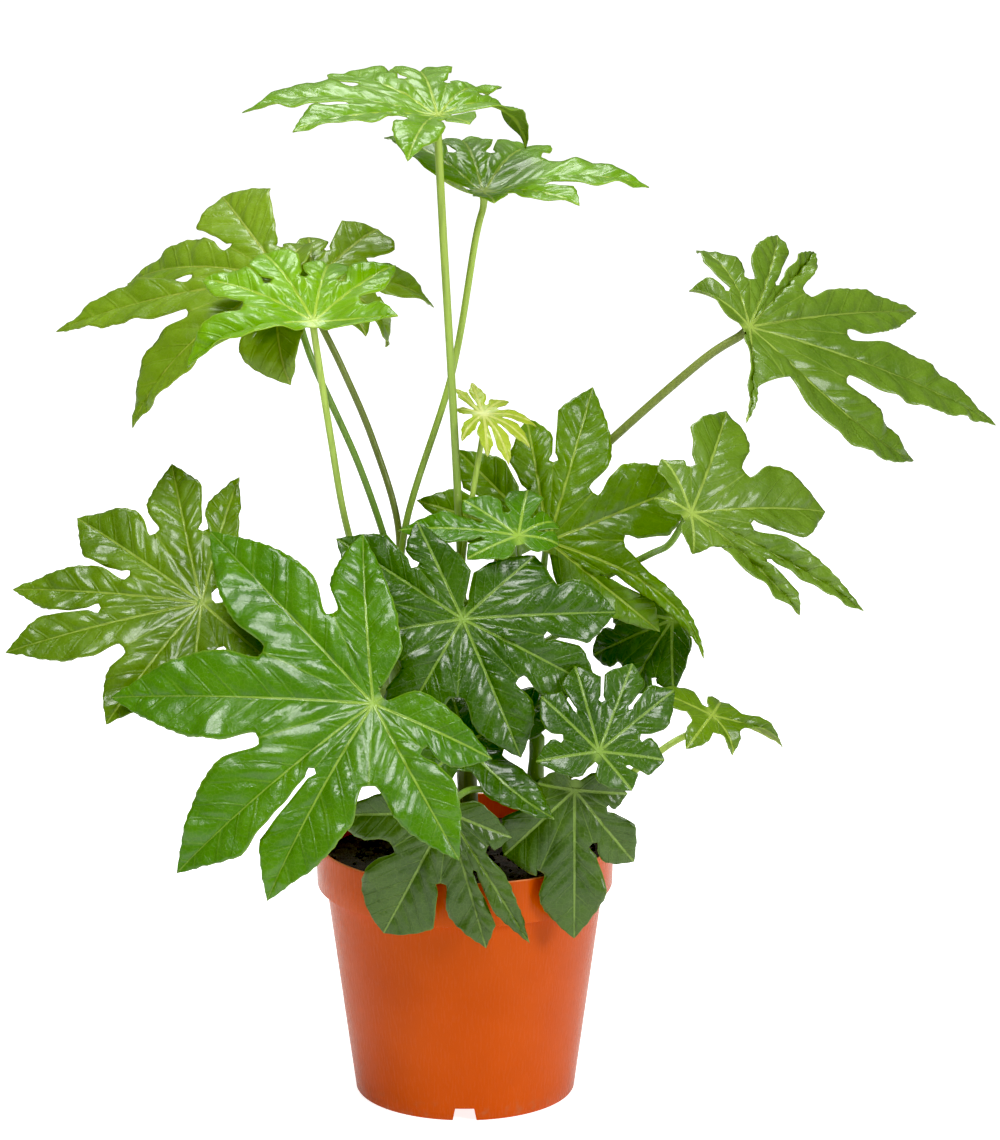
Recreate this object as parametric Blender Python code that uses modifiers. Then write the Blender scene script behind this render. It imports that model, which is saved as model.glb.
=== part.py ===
"""Potted fatsia: a leafy house plant with three shoots in a plastic nursery pot.

The pot, the soil, each shoot with its leaf stalks and each leaf blade are separate solids.
Sizes in the tables are millimetres and angles are degrees; MM turns sizes into metres.
The plant is laid out round the pot's axis, with the table it stands on at height 0.
"""

import math
from dataclasses import dataclass

import bmesh
import bpy
from mathutils import Vector

MM = 0.001
MERGE = 0.00001
# Clearance left between pieces that touch.
GAP = 0.3

# The pot's axis, measured from the middle of the whole plant's bounding box.
POT_AXIS = (-27, -1)

# Nursery pot.
POT_HEIGHT = 166.5
RIM_RADIUS = 95
COLLAR_BOTTOM = 136.9
COLLAR_TAPER = 0.8
FOOT_RADIUS = 70
BODY_FLARE = 0.135
WALL = 1.6
FOOT_RING = 3
FLOOR_UNDERSIDE = 9.5
FLOOR_THICKNESS = 2.5
POT_SIDES = 48
NOTCH_COUNT = 3
NOTCH_HEIGHT = 8.5
NOTCH_BOTTOM_WIDTH = 16
NOTCH_TOP_WIDTH = 12
DRAIN_HOLES = 6
DRAIN_HOLE_RADIUS = 4.5
DRAIN_CIRCLE = 46

# Soil.
SOIL_EDGE_HEIGHT = 151
SOIL_CROWN = 4
STEM_HOLE_DEPTH = 40

# Leaf blades.
BLADE = 0.8
WEB_ROWS = 2
FREE_ROWS = 6
BASAL_SINUS = 7
WIDEST = 0.28
TOOTH = 0.7
LOBE_CLEARANCE = 0.8
PATH_STEPS = 32
HUB_FLAT = 14
KEEL = 10
# Share of a lobe's taper that runs out in a drawn-out tip.
DRAWN_TIP = 0.25

# Leaf stalks.
STALK_STEP = 24
STALK_RADIUS = 2.2
STALK_BASE_RADIUS = 3


@dataclass
class Lobe:
    """One finger of a leaf, headed away from the hub in the blade's plane."""

    heading: float
    length: float
    droop: float
    width: float = 0
    fold: float = 0
    sway: float = 0
    blunt: float = 2.0
    bay: float = 0


@dataclass
class Leaf:
    """A blade: its hub's place, the way it faces and leans, and its lobes in order."""

    hub: tuple
    facing: float
    tilt: float
    lobes: list
    rise: float = 0
    web: float = 0.5
    breadth: float = 1
    keel: float = KEEL
    colour: str = "leaf"


@dataclass
class Stalk:
    """A leaf stalk: the height where it leaves its trunk, and points on its way."""

    leaf: str
    leaves_at: float
    via: list
    radius: float = STALK_RADIUS


COLOURS = {
    "pot": ((0.70, 0.11, 0.02), 0.32),
    "soil": ((0.018, 0.012, 0.008), 0.95),
    "stem": ((0.20, 0.36, 0.03), 0.45),
    "leaf": ((0.07, 0.26, 0.02), 0.30),
    "bright": ((0.16, 0.42, 0.02), 0.35),
    "dark": ((0.03, 0.12, 0.015), 0.30),
    "young": ((0.50, 0.62, 0.06), 0.45),
}

# Facing 0 is the front and 90 the right; tilt 0 lies level and 90 hangs upright.
# A heading of 0 points down the slope of the blade and 90 to the right of that.
LEAVES = {
    "leaf_top": Leaf((-16, -15, 640), 0, 5, rise=16, web=0.5, breadth=1.1, colour="bright", lobes=[
        Lobe(-232, 88, 100),
        Lobe(-202, 85, 52),
        Lobe(-172, 104, 40),
        Lobe(-140, 108, 37),
        Lobe(-98, 125, 40),
        Lobe(-61, 102, 30, bay=0.36),
        Lobe(-11, 93, 38, width=36),
        Lobe(24, 50, 11, blunt=2.2),
    ]),
    "leaf_top_right": Leaf((12, 20, 584), 0, 8, rise=22, web=0.48, colour="bright", lobes=[
        Lobe(-53, 38, -20),
        Lobe(10, 40, 20),
        Lobe(51, 78, 32),
        Lobe(84, 106, 40),
        Lobe(158, 91, 55, width=48),
        Lobe(190, 89, 46),
        Lobe(221, 98, 36),
    ]),
    "leaf_cluster_front": Leaf((-93, -40, 515), -5, 25, rise=10, colour="bright", lobes=[
        Lobe(-276, 55, -4, fold=28),
        Lobe(-218, 75, 24),
        Lobe(-182, 76, 46),
        Lobe(-152, 88, 34),
        Lobe(-121, 88, 30),
        Lobe(-76, 88, 62, width=36, fold=36),
    ]),
    "leaf_cluster_left": Leaf((-113, 18, 528), -50, 35, rise=8, web=0.42, lobes=[
        Lobe(36, 80, 78, width=54),
        Lobe(-23, 138, 48, width=54),
        Lobe(-60, 172, 20, width=44),
        Lobe(-82, 162, 38, width=48),
        Lobe(-113, 122, 17, width=76),
        Lobe(-150, 50, 60),
    ]),
    "leaf_cluster_right": Leaf((-96, 32, 521), 30, 25, rise=8, lobes=[
        Lobe(-330, 50, 60),
        Lobe(-301, 74, 96),
        Lobe(-275, 98, 55, width=40),
        Lobe(-236, 90, 23, width=54),
        Lobe(-205, 58, 27),
    ]),
    "leaf_young": Leaf((12, -4, 446), 0, 20, breadth=0.45, web=0.3, colour="young", lobes=[
        Lobe(6, 32, 73),
        Lobe(29, 41, 71),
        Lobe(62, 38, 58),
        Lobe(97, 37, 48),
        Lobe(150, 34, 40),
        Lobe(192, 35, -3),
        Lobe(214, 31, -8),
        Lobe(238, 22, 28),
        Lobe(318, 24, 65),
    ]),
    "leaf_right_high": Leaf((181, 60, 487), 45, 48, rise=6, web=0.42, lobes=[
        Lobe(-34, 74, 25, width=14, fold=50),
        Lobe(21, 153, 31, width=46, sway=62),
        Lobe(58, 198, 20, width=42),
        Lobe(84, 154, 19, width=36),
        Lobe(114, 107, 23, width=24, fold=40),
        Lobe(129, 97, 24, width=34),
        Lobe(165, 80, 58, width=34),
        Lobe(202, 48, 60, width=28, fold=40),
    ]),
    "leaf_right_mid": Leaf((142, -30, 389), 25, 52, rise=4, lobes=[
        Lobe(-8, 27, 50, width=20, fold=40),
        Lobe(40, 96, 30, width=28, fold=35),
        Lobe(53, 128, 18, width=28, fold=35, bay=0.34),
        Lobe(87, 101, 28, width=58),
        Lobe(144, 90, 30, width=44),
        Lobe(184, 46, 45, width=26),
        Lobe(225, 28, 70, width=18),
    ]),
    "leaf_back_centre": Leaf((53, 18, 357), 5, 72, rise=4, web=0.4, colour="bright", lobes=[
        Lobe(-109, 88, 19),
        Lobe(-137, 83, 22),
        Lobe(-172, 81, 21, width=36, bay=0.55),
        Lobe(-198, 104, 20, width=48),
        Lobe(-249, 106, 21, width=56),
        Lobe(-290, 132, -22, width=14, sway=-64),
        Lobe(-310, 92, 17),
    ]),
    "leaf_small_arched": Leaf((34, -29, 374), 0, 40, web=0.4, lobes=[
        Lobe(-66, 36, 22),
        Lobe(-100, 79, 24, width=26),
        Lobe(-130, 46, 10),
        Lobe(-188, 46, 36, blunt=2.2),
        Lobe(-232, 34, 57, blunt=2.2),
        Lobe(-272, 28, 49, blunt=2.2),
    ]),
    "leaf_centre": Leaf((-1, -48, 325), 0, 66, rise=6, web=0.54, breadth=1.05, colour="dark", lobes=[
        Lobe(-228, 62, 25, blunt=2.6, bay=0.8),
        Lobe(-267, 97, 20, width=50),
        Lobe(-297, 96, 25),
        Lobe(-337, 95, 26),
        Lobe(-390, 90, 30),
        Lobe(-441, 88, 28),
        Lobe(-483, 95, 18),
        Lobe(-515, 68, 6),
    ]),
    "leaf_front_left": Leaf((-56, -112, 289), -12, 58, rise=6, web=0.46, lobes=[
        Lobe(70, 83, 29, blunt=2.2),
        Lobe(34, 114, 30, bay=0.43),
        Lobe(-24, 140, 31, width=58, bay=0.36),
        Lobe(-46, 163, 29, width=66, bay=0.44),
        Lobe(-89, 172, 24, width=58),
        Lobe(-132, 163, 23, width=56),
        Lobe(-169, 116, 27, width=44),
    ]),
    "leaf_left": Leaf((-165, -28, 330), -15, 50, rise=4, web=0.5, lobes=[
        Lobe(54, 66, 0),
        Lobe(6, 80, 8),
        Lobe(-29, 98, 16),
        Lobe(-71, 130, 14, width=44),
        Lobe(-91, 128, 16, width=36, bay=0.43),
        Lobe(-120, 110, 17, width=50, bay=0.54),
        Lobe(-158, 103, 12, width=44),
        Lobe(-184, 92, 18, width=30),
    ]),
    "leaf_small_glossy": Leaf((84, -92, 252), 5, 60, rise=4, web=0.52, breadth=1.1, colour="dark", lobes=[
        Lobe(-83, 40, 18),
        Lobe(-137, 51, 18),
        Lobe(-168, 58, 20),
        Lobe(-203, 62, 17),
        Lobe(-232, 63, 13),
        Lobe(-278, 42, 20, blunt=2.2),
        Lobe(-322, 32, 19, blunt=2.2),
    ]),
    "leaf_over_rim_right": Leaf((69, -82, 224), 0, 84, web=0.5, colour="dark", lobes=[
        Lobe(-96, 26, 50),
        Lobe(-46, 62, 8, width=52, bay=0.72),
        Lobe(0, 97, 10, width=48, bay=0.46),
        Lobe(38, 62, 21, width=36),
        Lobe(84, 34, 19),
    ]),
    "leaf_over_rim_left": Leaf((-10, -103, 216), 0, 86, web=0.5, colour="dark", lobes=[
        Lobe(-88, 74, 5, bay=0.5),
        Lobe(-27, 89, 8, width=62, blunt=3.2),
        Lobe(15, 92, 7, width=37, bay=0.42),
        Lobe(31, 99, 3, width=20),
        Lobe(66, 44, 17),
    ]),
    "leaf_inner_dark": Leaf((0, -59, 247), 15, 45, web=0.3, colour="dark", lobes=[
        Lobe(-53, 56, -5),
        Lobe(31, 84, -36, width=32),
        Lobe(113, 84, 1),
        Lobe(180, 50, 30),
    ]),
    "leaf_right_dark": Leaf((132, 34, 301), -25, 70, web=0.75, colour="dark", lobes=[
        Lobe(8, 46, 15, blunt=2.2),
        Lobe(-26, 57, 16, blunt=2.2),
        Lobe(-62, 62, 18, blunt=2.2),
        Lobe(-96, 46, 27, blunt=2.2),
    ]),
    "leaf_right_low": Leaf((157, -10, 251), 55, 35, rise=4, colour="bright", lobes=[
        Lobe(-140, 44, 12, width=28),
        Lobe(-74, 36, 53, width=22),
        Lobe(0, 30, 60, width=18),
        Lobe(50, 58, 28, width=20, fold=50),
        Lobe(110, 30, 40, width=18),
    ]),
    "leaf_rear_left": Leaf((-62, 74, 262), 165, 48, rise=4, lobes=[
        Lobe(-110, 52, 25),
        Lobe(-68, 70, 25),
        Lobe(-30, 84, 25),
        Lobe(6, 90, 25),
        Lobe(44, 82, 25),
        Lobe(82, 66, 25),
        Lobe(122, 48, 25),
    ]),
}

# A trunk is a line of points from the soil to the top of the shoot.
TRUNKS = {
    "shoot_left": [(-36, 6, 120), (-38, 8, 190), (-42, 8, 250), (-43, 8, 316)],
    "shoot_centre": [(4, 8, 120), (2, 10, 190), (-1, 6, 250), (0, 5, 320)],
    "shoot_right": [(42, -8, 120), (44, -10, 170), (45, -10, 210), (46, -8, 236)],
}
TRUNK_FOOT_RADIUS = 7.5
TRUNK_TOP_RADIUS = 4.6

STALKS = {
    "shoot_left": [
        Stalk("leaf_cluster_front", 300, [(-57, 5, 312), (-74, -12, 376), (-83, -25, 435)]),
        Stalk("leaf_cluster_left", 306, [(-46, 8, 345), (-66, 4, 410), (-96, 6, 480)]),
        Stalk("leaf_cluster_right", 312, [(-42, 18, 367), (-58, 28, 421), (-78, 28, 470)]),
        Stalk("leaf_top_right", 296, [(-37, 12, 370), (-8, 17, 466), (7, 20, 552)]),
        Stalk("leaf_left", 232, [(-79, 0, 268), (-123, -2, 295)]),
        Stalk("leaf_front_left", 205, [(-46, -28, 228), (-52, -76, 250)]),
        Stalk("leaf_rear_left", 205, [(-46, 40, 225)]),
    ],
    "shoot_centre": [
        Stalk("leaf_top", 300, [(-4, 0, 389), (-8, -6, 472), (-13, -12, 566)], 2.5),
        Stalk("leaf_young", 312, [(-1, 1, 350), (5, -1, 391)], 1.8),
        Stalk("leaf_right_high", 290, [(30, 42, 353), (86, 66, 404), (149, 68, 461)], 2.8),
        Stalk("leaf_right_mid", 270, [
            (29, 24, 292), (61, 42, 312), (90, 40, 328), (117, 20, 348), (129, -6, 362)]),
        Stalk("leaf_small_arched", 284, [(18, 4, 312), (33, -2, 341)], 1.8),
        Stalk("leaf_centre", 262, [(-1, -12, 292)]),
        Stalk("leaf_right_dark", 250, [(35, 40, 274), (86, 74, 292), (124, 66, 298)]),
    ],
    "shoot_right": [
        Stalk("leaf_back_centre", 216, [(48, 8, 260), (47, 24, 300), (50, 36, 332)]),
        Stalk("leaf_small_glossy", 206, [(60, -35, 215), (76, -66, 234)], 1.8),
        Stalk("leaf_over_rim_right", 190, [(54, -35, 200), (66, -62, 216)]),
        Stalk("leaf_over_rim_left", 196, [(28, -42, 210), (3, -77, 222)]),
        Stalk("leaf_inner_dark", 198, [(26, -20, 210), (10, -38, 228)]),
        Stalk("leaf_right_low", 180, [(73, -22, 192), (98, -22, 210), (130, -18, 234)]),
    ],
}


def clear_scene():
    """Remove whatever the open file holds."""
    for old in list(bpy.data.objects):
        bpy.data.objects.remove(old, do_unlink=True)


def new_collection(name):
    """A collection linked to the scene."""
    collection = bpy.data.collections.new(name)
    bpy.context.scene.collection.children.link(collection)
    return collection


def make_material(name):
    """A Principled material in one of the plant's colours."""
    colour, roughness = COLOURS[name]
    material = bpy.data.materials.new(name)
    material.use_nodes = True
    shader = material.node_tree.nodes["Principled BSDF"]
    shader.inputs["Base Color"].default_value = (*colour, 1)
    shader.inputs["Roughness"].default_value = roughness
    shader.inputs["Metallic"].default_value = 0
    return material


def smooth(x):
    """Ease from 0 to 1 as x goes from 0 to 1."""
    x = min(max(x, 0), 1)
    return x * x * (3 - 2 * x)


def evaluated_mesh(obj):
    """A copy of the object's mesh with its modifiers applied."""
    graph = bpy.context.evaluated_depsgraph_get()
    return bpy.data.meshes.new_from_object(obj.evaluated_get(graph))


def add_object(name, mesh, collection, parent, material=None):
    """An object for a mesh, under the plant's empty."""
    obj = bpy.data.objects.new(name, mesh)
    collection.objects.link(obj)
    obj.parent = parent
    if material:
        mesh.materials.clear()
        mesh.materials.append(material)
    return obj


def boolean(obj, operation, cutter=None, collection=None):
    """Apply a Boolean on the object and keep the result as its own mesh."""
    modifier = obj.modifiers.new(operation.lower(), "BOOLEAN")
    modifier.operation = operation
    if cutter:
        modifier.object = cutter
    else:
        modifier.operand_type = "COLLECTION"
        modifier.collection = collection
    mesh = evaluated_mesh(obj)
    obj.modifiers.clear()
    obj.data = mesh


def turned(name, profile, collection, parent, material):
    """A closed body turned round the vertical axis from its half profile."""
    mesh = bpy.data.meshes.new(name)
    points = [(radius * MM, 0, height * MM) for radius, height in profile]
    edges = [(i, i + 1) for i in range(len(points) - 1)]
    mesh.from_pydata(points, edges, [])
    obj = add_object(name, mesh, collection, parent, material)
    screw = obj.modifiers.new("turn", "SCREW")
    screw.steps = POT_SIDES
    screw.render_steps = POT_SIDES
    screw.use_merge_vertices = True
    screw.merge_threshold = MERGE
    obj.data = evaluated_mesh(obj)
    obj.modifiers.clear()
    obj.data.shade_smooth()
    obj.data.set_sharp_from_angle(angle=math.radians(35))
    return obj


def body_radius(height):
    """Outer radius of the pot's tapering body."""
    return FOOT_RADIUS + BODY_FLARE * height


def inner_radius(height):
    """Inner radius of the pot, in its body or in the wider collar."""
    if height < COLLAR_BOTTOM + WALL:
        return body_radius(height) - WALL
    return RIM_RADIUS - WALL


def pot_profile():
    """The pot's wall from the middle of its floor, over the rim and back under it."""
    floor_top = FLOOR_UNDERSIDE + FLOOR_THICKNESS
    step = COLLAR_BOTTOM + WALL
    collar_foot = RIM_RADIUS - COLLAR_TAPER
    return [
        (0, floor_top),
        (inner_radius(floor_top), floor_top),
        (inner_radius(COLLAR_BOTTOM), step),
        (RIM_RADIUS - WALL - COLLAR_TAPER, step),
        (RIM_RADIUS - WALL, POT_HEIGHT - 0.5),
        (RIM_RADIUS - WALL / 2, POT_HEIGHT),
        (RIM_RADIUS, POT_HEIGHT - 0.8),
        (collar_foot, COLLAR_BOTTOM + 0.8),
        (collar_foot - 0.8, COLLAR_BOTTOM),
        (body_radius(COLLAR_BOTTOM), COLLAR_BOTTOM),
        (body_radius(4), 4),
        (body_radius(1), 1),
        (FOOT_RADIUS - 0.8, 0),
        (FOOT_RADIUS - FOOT_RING, 0),
        (FOOT_RADIUS - FOOT_RING, FLOOR_UNDERSIDE),
        (0, FLOOR_UNDERSIDE),
    ]


def make_pot(collection, cutters, parent, material):
    """The nursery pot, with notches through its foot ring and drain holes in its floor."""
    pot = turned("pot", pot_profile(), collection, parent, material)
    for i in range(NOTCH_COUNT):
        cut_notch(pot, -90 + 360 * i / NOTCH_COUNT, cutters, parent)
    for i in range(DRAIN_HOLES):
        cut_drain_hole(pot, 360 * i / DRAIN_HOLES, cutters, parent)
    return pot


def cut_notch(pot, direction, cutters, parent):
    """Cut a trapezoid through the foot ring, narrower at its top."""
    bm = bmesh.new()
    bmesh.ops.create_cube(bm, size=1)
    for vert in bm.verts:
        width = NOTCH_TOP_WIDTH if vert.co.z > 0 else NOTCH_BOTTOM_WIDTH
        vert.co.x *= 4 * FOOT_RING
        vert.co.y *= width
        vert.co.z = NOTCH_HEIGHT if vert.co.z > 0 else -2
        vert.co *= MM
    mesh = bpy.data.meshes.new("notch")
    bm.to_mesh(mesh)
    bm.free()
    cutter = add_object("notch", mesh, cutters, parent)
    angle = math.radians(direction)
    middle = FOOT_RADIUS - FOOT_RING / 2
    cutter.location = (middle * math.cos(angle) * MM, middle * math.sin(angle) * MM, 0)
    cutter.rotation_euler = (0, 0, angle)
    cut_with(pot, cutter)


def cut_drain_hole(pot, direction, cutters, parent):
    """Cut a round hole through the pot's floor."""
    bm = bmesh.new()
    bmesh.ops.create_cone(
        bm, cap_ends=True, segments=16, depth=3 * FLOOR_THICKNESS * MM,
        radius1=DRAIN_HOLE_RADIUS * MM, radius2=DRAIN_HOLE_RADIUS * MM,
    )
    mesh = bpy.data.meshes.new("drain_hole")
    bm.to_mesh(mesh)
    bm.free()
    cutter = add_object("drain_hole", mesh, cutters, parent)
    angle = math.radians(direction)
    height = FLOOR_UNDERSIDE + FLOOR_THICKNESS / 2
    cutter.location = (
        DRAIN_CIRCLE * math.cos(angle) * MM, DRAIN_CIRCLE * math.sin(angle) * MM, height * MM)
    cut_with(pot, cutter)


def cut_with(obj, cutter):
    """Take the cutter's shape out of the object and hide the cutter."""
    bpy.context.view_layer.update()
    boolean(obj, "DIFFERENCE", cutter=cutter)
    cutter.hide_render = True
    cutter.display_type = "WIRE"


def make_soil(collection, cutters, parent, material):
    """The potting soil, a slightly crowned plug with a plain hole for each trunk."""
    bottom = FLOOR_UNDERSIDE + FLOOR_THICKNESS + GAP
    step = COLLAR_BOTTOM + WALL + GAP
    collar = RIM_RADIUS - WALL - COLLAR_TAPER - GAP
    profile = [
        (0, SOIL_EDGE_HEIGHT + SOIL_CROWN),
        (35, SOIL_EDGE_HEIGHT + 0.8 * SOIL_CROWN),
        (70, SOIL_EDGE_HEIGHT + 0.3 * SOIL_CROWN),
        (collar, SOIL_EDGE_HEIGHT),
        (collar, step),
        (inner_radius(COLLAR_BOTTOM) - GAP, step),
        (inner_radius(bottom) - GAP, bottom),
        (0, bottom),
    ]
    soil = turned("soil", profile, collection, parent, material)
    for trunk in TRUNKS.values():
        foot = Vector(trunk[0])
        head = Vector(trunk[1])
        radius = TRUNK_FOOT_RADIUS + GAP + 0.2
        bottom_of_hole = foot - (head - foot).normalized() * GAP
        line = [bottom_of_hole, bottom_of_hole + (head - foot).normalized() * STEM_HOLE_DEPTH]
        mesh = tube_mesh("stem_hole", line, [radius, radius], 2)
        cutter = add_object("stem_hole", mesh, cutters, parent)
        cut_with(soil, cutter)
    return soil


def tube_mesh(name, points, radii, resolution):
    """A closed tube through the points, from a bevelled curve with filled caps."""
    data = bpy.data.curves.new(name, "CURVE")
    data.dimensions = "3D"
    data.bevel_depth = MM
    data.bevel_resolution = resolution
    data.use_fill_caps = True
    spline = data.splines.new("POLY")
    spline.points.add(len(points) - 1)
    for knot, point, radius in zip(spline.points, points, radii):
        knot.co = (*(Vector(point) * MM), 1)
        knot.radius = radius
    curve = bpy.data.objects.new(name, data)
    bpy.context.scene.collection.objects.link(curve)
    mesh = evaluated_mesh(curve)
    bpy.data.objects.remove(curve, do_unlink=True)
    bm = bmesh.new()
    bm.from_mesh(mesh)
    bmesh.ops.remove_doubles(bm, verts=bm.verts, dist=MERGE)
    bmesh.ops.recalc_face_normals(bm, faces=bm.faces)
    bm.to_mesh(mesh)
    bm.free()
    return mesh


def spline_through(knots, step):
    """Points about a step apart on a smooth curve through the knots."""
    knots = [Vector(knot) for knot in knots]
    padded = [2 * knots[0] - knots[1], *knots, 2 * knots[-1] - knots[-2]]
    points = [knots[0]]
    for before, start, end, after in zip(padded, padded[1:], padded[2:], padded[3:]):
        count = max(1, round((end - start).length / step))
        for i in range(1, count + 1):
            t = i / count
            points.append(0.5 * (
                2 * start + (end - before) * t
                + (2 * before - 5 * start + 4 * end - after) * t * t
                + (3 * start - before - 3 * end + after) * t * t * t))
    return points


def point_at_height(trunk, height):
    """The point of a trunk's line at a given height."""
    for low, high in zip(trunk, trunk[1:]):
        if height <= high[2]:
            break
    share = (height - low[2]) / (high[2] - low[2])
    return Vector(low).lerp(Vector(high), share)


def leaf_normal(leaf):
    """The direction a blade's upper face looks in at its hub."""
    facing = math.radians(leaf.facing)
    tilt = math.radians(leaf.tilt)
    return Vector((
        math.sin(tilt) * math.sin(facing),
        -math.sin(tilt) * math.cos(facing),
        math.cos(tilt),
    ))


def stalk_mesh(trunk, stalk):
    """A stalk from inside its trunk to just under its leaf's hub."""
    leaf = LEAVES[stalk.leaf]
    hub = Vector(leaf.hub)
    normal = leaf_normal(leaf)
    knots = [
        point_at_height(trunk, stalk.leaves_at),
        *stalk.via,
        hub - normal * 11,
        hub - normal * (BLADE + GAP),
    ]
    points = spline_through(knots, STALK_STEP)
    last = len(points) - 1
    radii = []
    for i in range(last + 1):
        foot = (STALK_BASE_RADIUS - stalk.radius) * (1 - smooth(4 * i / last))
        radii.append(stalk.radius + max(foot, 0))
    return tube_mesh(stalk.leaf + "_stalk", points, radii, 1)


def make_shoot(name, collection, parent, material):
    """A trunk and its leaf stalks, joined in one solid."""
    trunk = TRUNKS[name]
    points = spline_through(trunk, STALK_STEP)
    last = len(points) - 1
    radii = [
        TRUNK_FOOT_RADIUS + (TRUNK_TOP_RADIUS - TRUNK_FOOT_RADIUS) * i / last
        for i in range(last + 1)
    ]
    mesh = tube_mesh(name, points, radii, 2)
    shoot = add_object(name, mesh, collection, parent, material)
    stalks = new_collection(name + "_stalks")
    for stalk in STALKS[name]:
        add_object(stalk.leaf + "_stalk", stalk_mesh(trunk, stalk), stalks, parent)
    bpy.context.view_layer.update()
    boolean(shoot, "UNION", collection=stalks)
    for obj in list(stalks.objects):
        bpy.data.objects.remove(obj, do_unlink=True)
    bpy.data.collections.remove(stalks)
    shoot.data.materials.clear()
    shoot.data.materials.append(material)
    return shoot


def lobe_path(leaf, lobe):
    """Points, headings and pitches along a lobe's bent midrib, in the blade's frame."""
    step = lobe.length / PATH_STEPS
    place = Vector((0, 0, 0))
    path = []
    for i in range(PATH_STEPS + 1):
        share = i / PATH_STEPS
        heading = math.radians(lobe.heading + lobe.sway * share * share)
        lift = leaf.rise * smooth(share * lobe.length / HUB_FLAT)
        pitch = math.radians(lift - lobe.droop * share ** 1.3)
        path.append((place.copy(), heading, pitch))
        place = place + step * Vector((
            math.cos(pitch) * math.cos(heading), math.cos(pitch) * math.sin(heading), math.sin(pitch)))
    return path


def lobe_point(leaf, lobe, path, along, across):
    """Where a flat point of a lobe lies once the lobe is bent and keeled."""
    position = min(max(along / lobe.length, 0), 1) * PATH_STEPS
    index = min(int(position), PATH_STEPS - 1)
    share = position - index
    start, heading_a, pitch_a = path[index]
    end, heading_b, pitch_b = path[index + 1]
    heading = heading_a + (heading_b - heading_a) * share
    pitch = pitch_a + (pitch_b - pitch_a) * share
    side = Vector((-math.sin(heading), math.cos(heading), 0))
    up = Vector((
        -math.sin(pitch) * math.cos(heading), -math.sin(pitch) * math.sin(heading), math.cos(pitch)))
    keel = math.radians(lobe.fold or leaf.keel) * smooth(along / (2 * HUB_FLAT))
    place = start.lerp(end, share) + across * math.cos(keel) * side + abs(across) * math.sin(keel) * up
    if along < 0:
        place += along * Vector((math.cos(heading), math.sin(heading), 0))
    return place


def half_width(lobe, widest, foot, share):
    """Half width of a lobe's free part, from its sinus at 0 to its tip at 1."""
    if share < WIDEST:
        return foot + (widest - foot) * smooth(share / WIDEST)
    run = (share - WIDEST) / (1 - WIDEST)
    return widest * ((1 - DRAWN_TIP) * (1 - run ** lobe.blunt) + DRAWN_TIP * (1 - smooth(run)))


def gap_after(leaf, index):
    """The angle and the sinus radius between a lobe and the next one round the hub.

    A lobe's bay, if it has one, takes the place of the leaf's web after it.
    """
    lobe = leaf.lobes[index]
    other = leaf.lobes[(index + 1) % len(leaf.lobes)]
    turn = 1 if leaf.lobes[1].heading > leaf.lobes[0].heading else -1
    angle = (turn * (other.heading - lobe.heading)) % 360
    if index == len(leaf.lobes) - 1:
        return angle, BASAL_SINUS
    return angle, (lobe.bay or leaf.web) * math.sqrt(lobe.length * other.length)


def flat_point(leaf, index, row, side):
    """A blade point in its lobe's flat frame: the distance along and across the midrib."""
    lobe = leaf.lobes[index]
    edges = []
    for gap_index in (index - 1, index):
        angle, sinus = gap_after(leaf, gap_index % len(leaf.lobes))
        half = math.radians(min(angle / 2, 85))
        edges.append((half, sinus))
    middle = sum(sinus * math.cos(half) for half, sinus in edges) / 2
    rows = WEB_ROWS + FREE_ROWS
    share = max(row - WEB_ROWS, 0) / FREE_ROWS
    if side == 0:
        if row <= WEB_ROWS:
            return middle * row / WEB_ROWS, 0
        return middle + (lobe.length - middle) * share, 0
    half, sinus = edges[0] if side < 0 else edges[1]
    if row <= WEB_ROWS:
        reach = sinus * row / WEB_ROWS
        return reach * math.cos(half), side * reach * math.sin(half)
    start = sinus * math.cos(half)
    along = start + (lobe.length - start) * share
    width = lobe.width or leaf.breadth * (17 + 0.25 * lobe.length)
    across = half_width(lobe, width / 2, sinus * math.sin(half), share)
    if row < rows:
        across += TOOTH * (1 if row % 2 else -1)
    across = min(across, along * math.tan(half) - LOBE_CLEARANCE)
    return along, side * across


def blade_point(leaf, paths, index, row, side):
    """A blade point in the leaf's own frame, eased over to the next lobe in the web."""
    lobe = leaf.lobes[index]
    turn = 1 if leaf.lobes[1].heading > leaf.lobes[0].heading else -1
    along, across = flat_point(leaf, index, row, side)
    place = lobe_point(leaf, lobe, paths[index], along, turn * across)
    if side == 0:
        return place
    gap_index = (index - 1 if side < 0 else index) % len(leaf.lobes)
    other_index = (index + side) % len(leaf.lobes)
    angle, sinus = gap_after(leaf, gap_index)
    half = math.radians(min(angle / 2, 85))
    reach = math.hypot(along, across)
    bearing = math.atan2(abs(across), along)
    fade = 1 - smooth((reach - sinus) / (0.5 * sinus))
    share = 0.5 * smooth(bearing / half) * fade
    other = leaf.lobes[other_index]
    bearing_there = bearing - 2 * half
    there = lobe_point(
        leaf, other, paths[other_index],
        reach * math.cos(bearing_there), turn * side * reach * math.sin(bearing_there))
    return place.lerp(there, share)


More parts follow.
